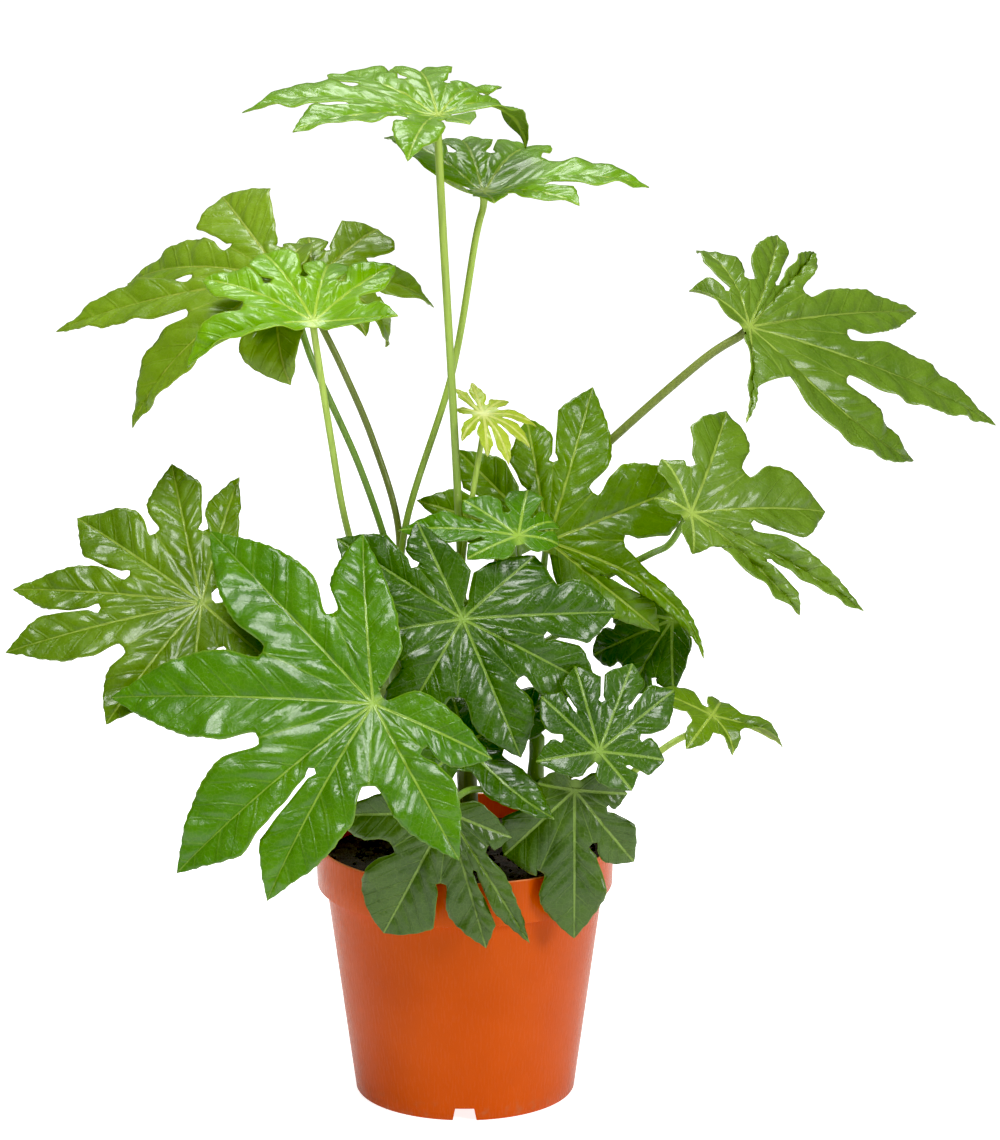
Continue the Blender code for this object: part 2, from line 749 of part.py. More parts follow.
def make_leaf(name, collection, parent, materials):
    """A blade: one grid for each lobe, moved to its place, welded and thickened."""
    leaf = LEAVES[name]
    rows = WEB_ROWS + FREE_ROWS
    paths = [lobe_path(leaf, lobe) for lobe in leaf.lobes]
    bm = bmesh.new()
    for index in range(len(leaf.lobes)):
        grid = bmesh.ops.create_grid(bm, x_segments=2, y_segments=rows, size=1)
        for vert in grid["verts"]:
            side = round(vert.co.x)
            row = round((vert.co.y + 1) / 2 * rows)
            vert.co = blade_point(leaf, paths, index, row, side) * MM
    bmesh.ops.remove_doubles(bm, verts=bm.verts, dist=10 * MERGE)
    bmesh.ops.recalc_face_normals(bm, faces=bm.faces)
    hub = min(bm.verts, key=lambda vert: vert.co.length)
    if hub.normal.z < 0:
        bmesh.ops.reverse_faces(bm, faces=bm.faces)
    bmesh.ops.triangulate(bm, faces=bm.faces)
    mesh = bpy.data.meshes.new(name)
    bm.to_mesh(mesh)
    bm.free()
    obj = add_object(name, mesh, collection, parent, materials[leaf.colour])
    obj.location = Vector(leaf.hub) * MM
    obj.rotation_euler = (0, math.radians(leaf.tilt), math.radians(leaf.facing - 90))
    thicken = obj.modifiers.new("thickness", "SOLIDIFY")
    thicken.thickness = BLADE * MM
    thicken.offset = -1
    return obj


def main():
    clear_scene()
    plant = new_collection("potted_fatsia")
    cutters = new_collection("cutters")
    axis = bpy.data.objects.new("pot_axis", None)
    plant.objects.link(axis)
    axis.location = (POT_AXIS[0] * MM, POT_AXIS[1] * MM, 0)
    bpy.context.view_layer.update()
    materials = {name: make_material(name) for name in COLOURS}
    make_pot(plant, cutters, axis, materials["pot"])
    make_soil(plant, cutters, axis, materials["soil"])
    for name in TRUNKS:
        make_shoot(name, plant, axis, materials["stem"])
    for name in LEAVES:
        make_leaf(name, plant, axis, materials)


main()
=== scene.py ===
# %% [markdown]
# # A potted fatsia
# A fatsia is a leafy shade plant with big glossy leaves, each cut into fingers like a hand.
# This one stands in an orange nursery pot. The solids of the pot, the soil, the shoots and the
# leaves already exist as a plain model. This lesson loads them, and then builds a finer piece
# over each one, with veins, rims, crumbs and a finish of its own.

# %% Load the plain model and keep its box
import math
import random
from dataclasses import dataclass

import bpy
import numpy as np
from mathutils import Euler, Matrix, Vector, noise


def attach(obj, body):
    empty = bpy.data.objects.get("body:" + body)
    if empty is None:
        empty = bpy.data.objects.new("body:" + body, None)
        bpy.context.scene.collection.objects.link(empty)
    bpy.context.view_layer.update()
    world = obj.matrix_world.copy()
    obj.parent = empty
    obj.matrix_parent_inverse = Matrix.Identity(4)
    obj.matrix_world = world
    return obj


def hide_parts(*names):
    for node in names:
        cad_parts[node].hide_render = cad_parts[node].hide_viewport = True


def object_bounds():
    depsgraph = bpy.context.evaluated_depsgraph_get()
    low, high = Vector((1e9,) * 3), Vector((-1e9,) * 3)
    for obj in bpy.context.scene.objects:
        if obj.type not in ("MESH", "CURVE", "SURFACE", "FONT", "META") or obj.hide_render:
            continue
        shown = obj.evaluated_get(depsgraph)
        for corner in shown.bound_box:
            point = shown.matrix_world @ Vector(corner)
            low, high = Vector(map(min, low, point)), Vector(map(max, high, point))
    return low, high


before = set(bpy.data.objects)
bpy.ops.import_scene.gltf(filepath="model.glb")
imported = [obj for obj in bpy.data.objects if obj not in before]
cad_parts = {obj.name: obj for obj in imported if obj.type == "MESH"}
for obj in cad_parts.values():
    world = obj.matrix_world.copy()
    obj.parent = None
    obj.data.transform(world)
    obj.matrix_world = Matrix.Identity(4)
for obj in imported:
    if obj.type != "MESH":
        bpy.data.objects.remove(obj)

cad_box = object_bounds()
print("plain nodes:", len(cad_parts), "box:", cad_box)

# %% [markdown]
# ## Small helpers
# Operators act on whatever is selected. The loaded nodes arrive selected, so each step starts
# by clearing the selection. Sizes in the tables are millimetres, as a gardener would measure
# them, and MM turns them into Blender's metres. The pot's axis stands a little left of the
# middle of the plant, so AXIS is added to every place.

# %% Clear the selection, pick one object, apply its modifiers
MM = 0.001
AXIS = Vector((-27, -1, 0))


def pick(*objects):
    """Select these objects only, and make the first one active."""
    if bpy.context.object and bpy.context.object.mode != "OBJECT":
        bpy.ops.object.mode_set(mode="OBJECT")
    bpy.ops.object.select_all(action="DESELECT")
    for obj in objects:
        obj.select_set(True)
    bpy.context.view_layer.objects.active = objects[0] if objects else None


def apply_modifiers(obj):
    """Make every modifier of the object part of its mesh."""
    pick(obj)
    for modifier in list(obj.modifiers):
        bpy.ops.object.modifier_apply(modifier=modifier.name)


def settle(obj):
    """Put the object's place in its mesh, so that the object itself sits at the origin."""
    pick(obj)
    bpy.ops.object.transform_apply(location=True, rotation=True, scale=True)


pick()
print("selection cleared")

# %% Name a finished piece, hang it on the plant and hide the plain nodes it stands for
def hand_over(piece, name, slot, *nodes):
    """Name a piece, let it ride on the plant and stand for its plain nodes."""
    piece.name = name
    piece.data.name = name
    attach(piece, "root")
    if nodes:
        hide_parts(*nodes)
    print(name, "made with", len(piece.data.polygons), "faces")


# %% [markdown]
# ## Camera
# The viewer stands well back and looks slightly down, so the pot's rim is a thin ellipse.
# A long lens from more than four metres keeps the leaves in front from growing too large.

# %% Place the camera
VIEW_DOWN = math.radians(15.65)
VIEW_DISTANCE = 4416.2
AIM = Vector((-4.56, -1, 343.42))
LENS = 221.05

back = Vector((0, -math.cos(VIEW_DOWN), math.sin(VIEW_DOWN)))
pick()
bpy.ops.object.camera_add(
    location=(AIM + back * VIEW_DISTANCE) * MM, rotation=(math.pi / 2 - VIEW_DOWN, 0, 0))
camera = bpy.context.object
camera.name = "camera"
camera.data.lens = LENS
camera.data.sensor_width = 36
camera.data.clip_end = 100
bpy.context.scene.camera = camera
print("camera at", tuple(round(x, 3) for x in camera.location))

# %% [markdown]
# ## Studio
# The plant stands in a bright white studio: a white floor, a dim white all round, and three
# soft lights. The strongest hangs high in front, and the one at the right makes the pot's
# right side lighter than its left. Together they put white sparkles on the glossy leaves.

# %% White surroundings and plain tones
FLOOR_WIDTH = 14
world = bpy.data.worlds.new("white studio")
world.use_nodes = True
world.node_tree.nodes["Background"].inputs["Color"].default_value = (1, 1, 1, 1)
world.node_tree.nodes["Background"].inputs["Strength"].default_value = 0.2
bpy.context.scene.world = world
bpy.context.scene.view_settings.view_transform = "Standard"
bpy.context.scene.view_settings.look = "None"
bpy.context.scene.view_settings.use_curve_mapping = True
bpy.context.scene.view_settings.curve_mapping.black_level = (0.012, 0.012, 0.012)
bpy.context.scene.view_settings.curve_mapping.update()

floor_finish = bpy.data.materials.new("white_floor")
floor_finish.use_nodes = True
floor_shader = floor_finish.node_tree.nodes["Principled BSDF"]
floor_shader.inputs["Base Color"].default_value = (0.93, 0.93, 0.93, 1)
floor_shader.inputs["Roughness"].default_value = 0.9
floor_shader.inputs["Specular IOR Level"].default_value = 0.1
floor_shader.inputs["Emission Color"].default_value = (1, 1, 1, 1)
# The floor glows more for the camera than for the plant, so it looks white without lighting
# the leaves much from below.
floor_nodes = floor_finish.node_tree.nodes
seen = floor_nodes.new("ShaderNodeLightPath")
glow = floor_nodes.new("ShaderNodeMapRange")
glow.inputs["To Min"].default_value = 0.3
glow.inputs["To Max"].default_value = 0.85
floor_finish.node_tree.links.new(seen.outputs["Is Camera Ray"], glow.inputs["Value"])
floor_finish.node_tree.links.new(
    glow.outputs["Result"], floor_shader.inputs["Emission Strength"])
pick()
bpy.ops.mesh.primitive_plane_add(size=FLOOR_WIDTH, location=(0, 0, -0.0002))
floor = bpy.context.object
floor.name = "floor"
floor.data.materials.append(floor_finish)
print("floor", FLOOR_WIDTH, "metres wide")

# %% Soft lights
def add_softbox(name, place, size, power):
    """A square soft light that faces the middle of the plant."""
    pick()
    bpy.ops.object.light_add(type="AREA", location=place)
    light = bpy.context.object
    light.name = name
    light.data.shape = "SQUARE"
    light.data.size = size
    light.data.energy = power
    towards = Vector((0, 0, 0.38)) - light.location
    light.rotation_euler = towards.to_track_quat("-Z", "Y").to_euler()
    return light


add_softbox("light_right", (1.6, -1.4, 1.3), 0.7, 25)
add_softbox("light_above_front", (-0.5, -1.0, 2.2), 0.85, 38)
add_softbox("light_above_back", (-0.2, 0.9, 1.9), 0.7, 16)
print("three soft lights")

# %% [markdown]
# ## Reading a finish: small node builders
# A finish is a chain of nodes. These helpers add the ones that come back in every material:
# a noise, a ramp between two values, a mix of two colours and a bump. Patterns read the
# object's own coordinates in metres, so a scale of 400 means grains of about 2.5 mm.

# %% Start a material and add nodes to it
class Finish:
    """A material under construction, with short ways to add the usual nodes."""

    def __init__(self, name):
        self.material = bpy.data.materials.new(name)
        self.material.use_nodes = True
        self.tree = self.material.node_tree
        self.shader = self.tree.nodes["Principled BSDF"]
        self.output = self.tree.nodes["Material Output"]
        self.place = self.add("ShaderNodeTexCoord").outputs["Object"]

    def add(self, kind, **settings):
        """A new node with these settings."""
        node = self.tree.nodes.new(kind)
        for key, value in settings.items():
            setattr(node, key, value)
        return node

    def link(self, source, target):
        """Join an output to an input, or put a plain number there."""
        if isinstance(source, (int, float, tuple)):
            target.default_value = source
        else:
            self.tree.links.new(source, target)

    def noise(self, scale, detail=3, stretch=None, source=None):
        """Noise from 0 to 1 on the object's coordinates, stretched if asked."""
        source = source or self.place
        if stretch:
            mapping = self.add("ShaderNodeMapping")
            self.link(source, mapping.inputs["Vector"])
            mapping.inputs["Scale"].default_value = stretch
            source = mapping.outputs["Vector"]
        node = self.add("ShaderNodeTexNoise")
        self.link(source, node.inputs["Vector"])
        node.inputs["Scale"].default_value = scale
        node.inputs["Detail"].default_value = detail
        return node.outputs["Fac"]

    def ramp(self, value, low, high, to_low=0.0, to_high=1.0):
        """Ease a value between two limits to a new range."""
        node = self.add("ShaderNodeMapRange", interpolation_type="SMOOTHSTEP")
        self.link(value, node.inputs["Value"])
        node.inputs["From Min"].default_value = low
        node.inputs["From Max"].default_value = high
        node.inputs["To Min"].default_value = to_low
        node.inputs["To Max"].default_value = to_high
        return node.outputs["Result"]

    def maths(self, operation, first, second=0.0):
        """One step of arithmetic."""
        node = self.add("ShaderNodeMath", operation=operation)
        self.link(first, node.inputs[0])
        self.link(second, node.inputs[1])
        return node.outputs["Value"]

    def mix(self, share, first, second):
        """A colour between two colours."""
        node = self.add("ShaderNodeMix", data_type="RGBA")
        self.link(share, node.inputs["Factor"])
        self.link(first, node.inputs["A"])
        self.link(second, node.inputs["B"])
        return node.outputs["Result"]

    def bump(self, height, depth, strength=1.0, below=None):
        """A bump of this depth in metres, on top of another one."""
        node = self.add("ShaderNodeBump")
        self.link(height, node.inputs["Height"])
        node.inputs["Distance"].default_value = depth
        node.inputs["Strength"].default_value = strength
        if below:
            self.link(below, node.inputs["Normal"])
        return node.outputs["Normal"]

    def set(self, socket, value):
        """Give a socket of the main shader a value or a link."""
        self.link(value, self.shader.inputs[socket])


def rgba(red, green, blue):
    """A colour in the four numbers that sockets want."""
    return (red, green, blue, 1.0)


print("finish helpers ready")

# %% [markdown]
# ## The pot's finish
# The pot is moulded polypropylene: one strong orange all through, smooth but not polished,
# so the light spreads into broad soft bands. Close up it has a very fine grain from the
# mould, faint upright flow marks and a little dust at the foot. The top edge of the rim has
# a painted highlight: a paler band painted along it.

# %% Orange moulded plastic
def orange_plastic():
    finish = Finish("orange_plastic")
    blotches = finish.ramp(finish.noise(14, 2), 0.3, 0.7)
    flow = finish.noise(60, 2, stretch=(1, 1, 0.12))
    shade = finish.mix(blotches, rgba(0.53, 0.076, 0.005), rgba(0.58, 0.088, 0.007))
    shade = finish.mix(finish.ramp(flow, 0.35, 0.75, 0, 0.09), shade, rgba(0.62, 0.11, 0.015))
    height = finish.add("ShaderNodeSeparateXYZ")
    finish.link(finish.place, height.inputs["Vector"])
    level = height.outputs["Z"]
    # Painted highlight: the top edge of the rim is painted paler where the light catches it.
    rim_highlight = finish.ramp(level, 0.1655, 0.1663, 0, 0.55)
    shade = finish.mix(rim_highlight, shade, rgba(0.80, 0.34, 0.15))
    dust = finish.ramp(level, 0.016, 0.002, 0, 1)
    dust = finish.maths("MULTIPLY", dust, finish.ramp(finish.noise(220, 4), 0.5, 0.75, 0, 0.45))
    shade = finish.mix(dust, shade, rgba(0.42, 0.16, 0.07))
    scuffs = finish.noise(900, 3, stretch=(1, 1, 0.05))
    grain = finish.noise(2600, 2)
    roughness = finish.ramp(scuffs, 0.4, 0.7, 0.22, 0.32)
    finish.set("Base Color", shade)
    finish.set("Roughness", roughness)
    finish.set("Specular IOR Level", 0.14)
    soft = finish.bump(finish.noise(18, 1), 0.0008, 0.5)
    finish.set("Normal", finish.bump(grain, 0.00008, 0.35, below=soft))
    return finish.material


pot_finish = orange_plastic()
print("made", pot_finish.name)

# %% [markdown]
# ## The pot
# A nursery pot is a thin tapering cup with a wider collar at the top, a small ledge under
# the collar and a foot ring with notches that let water out. It could be spun from a
# profile, or grown ring by ring. Growing it ring by ring is how a potter thinks: a filled
# disc is extruded and scaled from the underside of the floor, out to the foot, up the wall,
# over the rim and down inside again, and it is closed at every step.

# %% The rings of the pot, as radius and height
POT_SIDES = 160
POT_HEIGHT = 166.5
RIM_RADIUS = 95
COLLAR_BOTTOM = 136.9
COLLAR_TAPER = 0.8
FOOT_RADIUS = 70
BODY_FLARE = 0.135
WALL = 1.6
FOOT_RING = 3
FLOOR_UNDERSIDE = 9.5
FLOOR_TOP = 12
LEDGE_TOP = COLLAR_BOTTOM + WALL


def body_radius(height):
    """Outer radius of the tapering body."""
    return FOOT_RADIUS + BODY_FLARE * height


collar_foot = RIM_RADIUS - COLLAR_TAPER
underside_rings = [
    (40, FLOOR_UNDERSIDE), (FOOT_RADIUS - FOOT_RING - 0.6, FLOOR_UNDERSIDE),
    (FOOT_RADIUS - FOOT_RING, FLOOR_UNDERSIDE - 0.6), (FOOT_RADIUS - FOOT_RING, 0.4),
    (FOOT_RADIUS - FOOT_RING + 0.4, 0),
]
outer_rings = [
    (FOOT_RADIUS - 0.9, 0), (FOOT_RADIUS - 0.35, 0.2), (body_radius(1), 1),
    (body_radius(10), 10), (body_radius(30), 30), (body_radius(60), 60),
    (body_radius(95), 95), (body_radius(125), 125),
    (body_radius(COLLAR_BOTTOM - 0.5), COLLAR_BOTTOM - 0.5),
    (body_radius(COLLAR_BOTTOM) + 0.5, COLLAR_BOTTOM),
    (collar_foot - 0.9, COLLAR_BOTTOM), (collar_foot - 0.3, COLLAR_BOTTOM + 0.25),
    (collar_foot, COLLAR_BOTTOM + 0.9),
]
rim_rings = [
    (collar_foot + 0.4, 152), (RIM_RADIUS - 0.12, POT_HEIGHT - 2.2),
    (RIM_RADIUS, POT_HEIGHT - 0.9), (RIM_RADIUS - 0.15, POT_HEIGHT - 0.35),
    (RIM_RADIUS - WALL / 2, POT_HEIGHT), (RIM_RADIUS - WALL + 0.15, POT_HEIGHT - 0.3),
    (RIM_RADIUS - WALL, POT_HEIGHT - 0.9),
]
inner_rings = [
    (RIM_RADIUS - WALL - COLLAR_TAPER, LEDGE_TOP + 0.5),
    (RIM_RADIUS - WALL - COLLAR_TAPER - 0.5, LEDGE_TOP),
    (body_radius(COLLAR_BOTTOM) - WALL + 0.4, LEDGE_TOP),
    (body_radius(COLLAR_BOTTOM) - WALL, LEDGE_TOP - 0.5),
    (body_radius(FLOOR_TOP) - WALL, FLOOR_TOP + 0.6),
    (body_radius(FLOOR_TOP) - WALL - 0.6, FLOOR_TOP), (40, FLOOR_TOP), (3, FLOOR_TOP),
]
print(len(underside_rings + outer_rings + rim_rings + inner_rings), "rings")

# %% Grow a closed turned body ring by ring
def grow_rings(start, rings, sides):
    """Extrude a filled disc through rings of radius and height, round the pot's axis."""
    pick()
    centre = AXIS * MM
    radius, height = start
    bpy.ops.mesh.primitive_circle_add(
        vertices=sides, radius=radius * MM, fill_type="NGON",
        location=(centre.x, centre.y, height * MM))
    body = bpy.context.object
    bpy.ops.object.mode_set(mode="EDIT")
    bpy.ops.mesh.select_all(action="SELECT")
    for next_radius, next_height in rings:
        bpy.ops.mesh.extrude_region_move(
            TRANSFORM_OT_translate={"value": (0, 0, (next_height - height) * MM)})
        scale = next_radius / radius
        bpy.ops.transform.resize(
            value=(scale, scale, 1), center_override=(centre.x, centre.y, next_height * MM))
        radius, height = next_radius, next_height
    bpy.ops.mesh.select_all(action="SELECT")
    bpy.ops.mesh.normals_make_consistent(inside=False)
    bpy.ops.object.mode_set(mode="OBJECT")
    settle(body)
    return body


pot = grow_rings(
    (3, FLOOR_UNDERSIDE), underside_rings + outer_rings + rim_rings + inner_rings, POT_SIDES)
print("pot grown:", tuple(round(x, 4) for x in pot.dimensions))

# %% [markdown]
# ### Notches and drain holes
# Three notches through the foot ring and six holes in the floor let water out. They are
# simple shapes that cut clean through, so a Boolean with a small tapered block or a
# cylinder is the honest way to make them.

# %% Cut the notches and the holes
NOTCH_DIRECTIONS = (-90, 30, 150)
NOTCH_HEIGHT = 8.5
NOTCH_BOTTOM_WIDTH = 16
NOTCH_TOP_WIDTH = 12
DRAIN_HOLES = 6
DRAIN_HOLE_RADIUS = 4.5
DRAIN_CIRCLE = 46


def cut_away(body, cutter):
    """Take the cutter's shape out of the body and remove the cutter."""
    modifier = body.modifiers.new("cut", "BOOLEAN")
    modifier.operation = "DIFFERENCE"
    modifier.object = cutter
    apply_modifiers(body)
    bpy.data.objects.remove(cutter, do_unlink=True)


def notch_block(direction):
    """A block across the foot ring, narrower at its top."""
    pick()
    bpy.ops.mesh.primitive_cube_add(size=1, location=(0, 0, 0))
    block = bpy.context.object
    block.scale = (4 * FOOT_RING * MM, NOTCH_BOTTOM_WIDTH * MM, (NOTCH_HEIGHT + 2) * MM)
    settle(block)
    bpy.ops.object.mode_set(mode="EDIT")
    bpy.ops.mesh.select_mode(type="VERT")
    bpy.ops.mesh.select_all(action="DESELECT")
    bpy.ops.object.mode_set(mode="OBJECT")
    for vertex in block.data.vertices:
        vertex.select = vertex.co.z > 0
    bpy.ops.object.mode_set(mode="EDIT")
    bpy.ops.transform.resize(
        value=(1, NOTCH_TOP_WIDTH / NOTCH_BOTTOM_WIDTH, 1), center_override=(0, 0, 0))
    bpy.ops.object.mode_set(mode="OBJECT")
    angle = math.radians(direction)
    middle = FOOT_RADIUS - FOOT_RING / 2
    out = Vector((middle * math.cos(angle), middle * math.sin(angle), NOTCH_HEIGHT / 2 - 1))
    block.location = (AXIS + out) * MM
    block.rotation_euler = (0, 0, angle)
    settle(block)
    return block


def hole_plug(direction):
    """A cylinder through the floor."""
    angle = math.radians(direction)
    out = Vector((DRAIN_CIRCLE * math.cos(angle), DRAIN_CIRCLE * math.sin(angle), 10.7))
    pick()
    bpy.ops.mesh.primitive_cylinder_add(
        vertices=32, radius=DRAIN_HOLE_RADIUS * MM, depth=8 * MM, location=(AXIS + out) * MM)
    plug = bpy.context.object
    settle(plug)
    return plug


for direction in NOTCH_DIRECTIONS:
    cut_away(pot, notch_block(direction))
for i in range(DRAIN_HOLES):
    cut_away(pot, hole_plug(360 * i / DRAIN_HOLES))
pick(pot)
bpy.ops.object.shade_smooth_by_angle(angle=math.radians(40))
pot.data.materials.append(pot_finish)
hand_over(pot, "nursery_pot", "pot", "pot")

# %% [markdown]
# ## The soil
# Potting soil is nearly black, damp and crumbly. The plug is grown in rings like the pot,
# its top closes in many narrow rings to get a fine surface, and noise then lifts and sinks
# that surface. Loose crumbs lie on top. Each trunk stands in a hole of its own.

# %% Damp potting soil
def potting_soil():
    finish = Finish("potting_soil")
    coarse = finish.noise(180, 4)
    fine = finish.noise(900, 4)
    shade = finish.mix(finish.ramp(coarse, 0.35, 0.7), rgba(0.010, 0.007, 0.005),
                       rgba(0.030, 0.019, 0.012))
    fibres = finish.ramp(finish.noise(300, 3, stretch=(1, 6, 1)), 0.62, 0.72, 0, 0.6)
    shade = finish.mix(fibres, shade, rgba(0.085, 0.05, 0.025))
    finish.set("Base Color", shade)
    finish.set("Roughness", finish.ramp(fine, 0.3, 0.7, 0.75, 0.98))
    crumbs = finish.bump(coarse, 0.002, 0.8)
    finish.set("Normal", finish.bump(fine, 0.0006, 0.8, below=crumbs))
    return finish.material


soil_finish = potting_soil()
print("made", soil_finish.name)

# %% Grow the plug and roughen its top
SOIL_EDGE = 151
SOIL_CROWN = 4
SOIL_GAP = 0.35
soil_collar = RIM_RADIUS - WALL - COLLAR_TAPER - SOIL_GAP
soil_body = body_radius(COLLAR_BOTTOM) - WALL - SOIL_GAP
soil_foot = body_radius(FLOOR_TOP) - WALL - SOIL_GAP - 0.5
soil_rings = [
    (soil_foot, FLOOR_TOP + SOIL_GAP), (soil_body, LEDGE_TOP + SOIL_GAP),
    (soil_collar, LEDGE_TOP + SOIL_GAP + 0.5), (soil_collar, SOIL_EDGE - 1),
]
soil_rings += [
    (radius, SOIL_EDGE + SOIL_CROWN * (1 - (radius / soil_collar) ** 2))
    for radius in np.linspace(soil_collar - 0.8, 2, 46)
]
soil = grow_rings((20, FLOOR_TOP + SOIL_GAP), soil_rings, 160)


def lumps(place):
    """How far the soil's surface stands up at a place, in millimetres."""
    broad = noise.noise(place * 45)
    clods = noise.noise(place * 130 + Vector((5, 0, 0)))
    grit = noise.noise(place * 420)
    return 1.2 * broad + 1.3 * abs(clods) * 1.6 + 0.5 * grit


for vertex in soil.data.vertices:
    if vertex.co.z > (SOIL_EDGE - 0.5) * MM:
        vertex.co.z += lumps(vertex.co) * MM
print("soil surface has", len(soil.data.vertices), "points")

# %% Bore the stem holes
TRUNKS = {
    "shoot_left": [(-36, 6, 120), (-38, 8, 190), (-42, 8, 250), (-43, 8, 316)],
    "shoot_centre": [(4, 8, 120), (2, 10, 190), (-1, 6, 250), (0, 5, 320)],
    "shoot_right": [(42, -8, 120), (44, -10, 170), (45, -10, 210), (46, -8, 236)],
}
TRUNK_FOOT_RADIUS = 7.5
TRUNK_TOP_RADIUS = 4.6
for trunk in TRUNKS.values():
    foot = Vector(trunk[0])
    line = (Vector(trunk[1]) - foot).normalized()
    pick()
    bpy.ops.mesh.primitive_cylinder_add(
        vertices=40, radius=(TRUNK_FOOT_RADIUS + 0.3) * MM, depth=60 * MM,
        location=(AXIS + foot + line * 29) * MM, rotation=line.to_track_quat("Z", "Y").to_euler())
    hole = bpy.context.object
    settle(hole)
    cut_away(soil, hole)
pick(soil)
bpy.ops.object.shade_smooth_by_angle(angle=math.radians(50))
soil.data.materials.append(soil_finish)
hand_over(soil, "potting_soil_plug", "soil", "soil")

# %% Scatter loose crumbs
CRUMBS = 420
random.seed(11)
pick()
bpy.ops.mesh.primitive_ico_sphere_add(subdivisions=2, radius=MM, location=(0, 0, 0))
crumb = bpy.context.object
for vertex in crumb.data.vertices:
    vertex.co *= 1 + 0.35 * noise.noise(vertex.co * 1300)
crumbs = []
for i in range(CRUMBS):
    angle = random.uniform(0, 2 * math.pi)
    radius = (soil_collar - 4) * math.sqrt(random.random())
    size = random.uniform(0.5, 1.2) if i % 6 else random.uniform(1.2, 2.3)
    spot = AXIS + Vector((radius * math.cos(angle), radius * math.sin(angle), 0))
    near_stem = min(
        (spot - AXIS - Vector((*trunk[0][:2], 0))).length for trunk in TRUNKS.values())
    if near_stem < TRUNK_FOOT_RADIUS + 3:
        continue
    level = SOIL_EDGE + SOIL_CROWN * (1 - (radius / soil_collar) ** 2)
    spot.z = level + lumps(Vector((spot.x, spot.y, level)) * MM) + 0.3 * size
    piece = crumb.copy()
    piece.data = crumb.data.copy()
    bpy.context.collection.objects.link(piece)
    piece.location = spot * MM
    piece.rotation_euler = Euler([random.uniform(0, 6) for _ in range(3)])
    piece.scale = [size * random.uniform(0.7, 1.2) for _ in range(3)]
    crumbs.append(piece)
bpy.data.objects.remove(crumb, do_unlink=True)
pick(*crumbs)
bpy.ops.object.join()
settle(crumbs[0])
bpy.ops.object.shade_smooth()
crumbs[0].data.materials.append(soil_finish)
hand_over(crumbs[0], "soil_crumbs", "soil")

# %% [markdown]
# ## Trunks and leaf stalks
# Three green woody shoots rise from the soil, and each leaf hangs on a long round stalk with
# a swollen base that clasps the shoot. A bevelled curve could make such a tube. Here a flat
# sheet is rolled round the line instead, each row with its own radius, because the sheet's
# own map says how far up the stalk a point lies, which the finish uses.

# %% Green bark and stalk skins
def stalk_skin(name, foot_colour, top_colour, length_share=1.0):
    """A stalk's skin, from its foot colour to its top colour along its own map."""
    finish = Finish(name)
    where = finish.add("ShaderNodeSeparateXYZ")
    finish.link(finish.add("ShaderNodeUVMap", uv_map="UVMap").outputs["UV"],
                where.inputs["Vector"])
    up = finish.ramp(where.outputs["Y"], 0.0, length_share)
    shade = finish.mix(up, foot_colour, top_colour)
    streaks = finish.noise(500, 3, stretch=(1, 1, 0.06))
    shade = finish.mix(finish.ramp(streaks, 0.45, 0.75, 0, 0.35), shade,
                       tuple(0.6 * c for c in foot_colour[:3]) + (1.0,))
    specks = finish.ramp(finish.noise(900, 2, stretch=(1, 1, 0.4)), 0.68, 0.74, 0, 0.5)
    shade = finish.mix(specks, shade, rgba(0.5, 0.52, 0.25))
    finish.set("Base Color", shade)
    finish.set("Roughness", finish.ramp(streaks, 0.3, 0.7, 0.34, 0.5))
    finish.set("Subsurface Weight", 0.12)
    finish.set("Subsurface Radius", (0.002, 0.003, 0.001))
    finish.set("Normal", finish.bump(streaks, 0.0004, 0.5))
    return finish.material


skins = {
    "bark": stalk_skin("green_bark", rgba(0.12, 0.13, 0.028), rgba(0.12, 0.23, 0.02)),
    "lime": stalk_skin("lime_stalk", rgba(0.16, 0.27, 0.03), rgba(0.42, 0.58, 0.09)),
    "green": stalk_skin("green_stalk", rgba(0.10, 0.20, 0.02), rgba(0.20, 0.36, 0.04)),
    "olive": stalk_skin("olive_stalk", rgba(0.14, 0.18, 0.03), rgba(0.22, 0.28, 0.05)),
}
print(len(skins), "skins")

# %% Roll a sheet round a line
TUBE_SIDES = 18
TUBE_STEP = 3.5


def ease(x):
    """Go smoothly from 0 to 1 as x goes from 0 to 1."""
    x = np.clip(x, 0, 1)
    return x * x * (3 - 2 * x)


def smooth_line(knots, step):
    """Points about a step apart on a smooth curve through the knots."""
    knots = [Vector(knot) for knot in knots]
    padded = [2 * knots[0] - knots[1], *knots, 2 * knots[-1] - knots[-2]]
    points = [knots[0]]
    for before, start, end, after in zip(padded, padded[1:], padded[2:], padded[3:]):
        count = max(1, round((end - start).length / step))
        for i in range(1, count + 1):
            t = i / count
            points.append(0.5 * (
                2 * start + (end - before) * t
                + (2 * before - 5 * start + 4 * end - after) * t * t
                + (3 * start - before - 3 * end + after) * t * t * t))
    return points


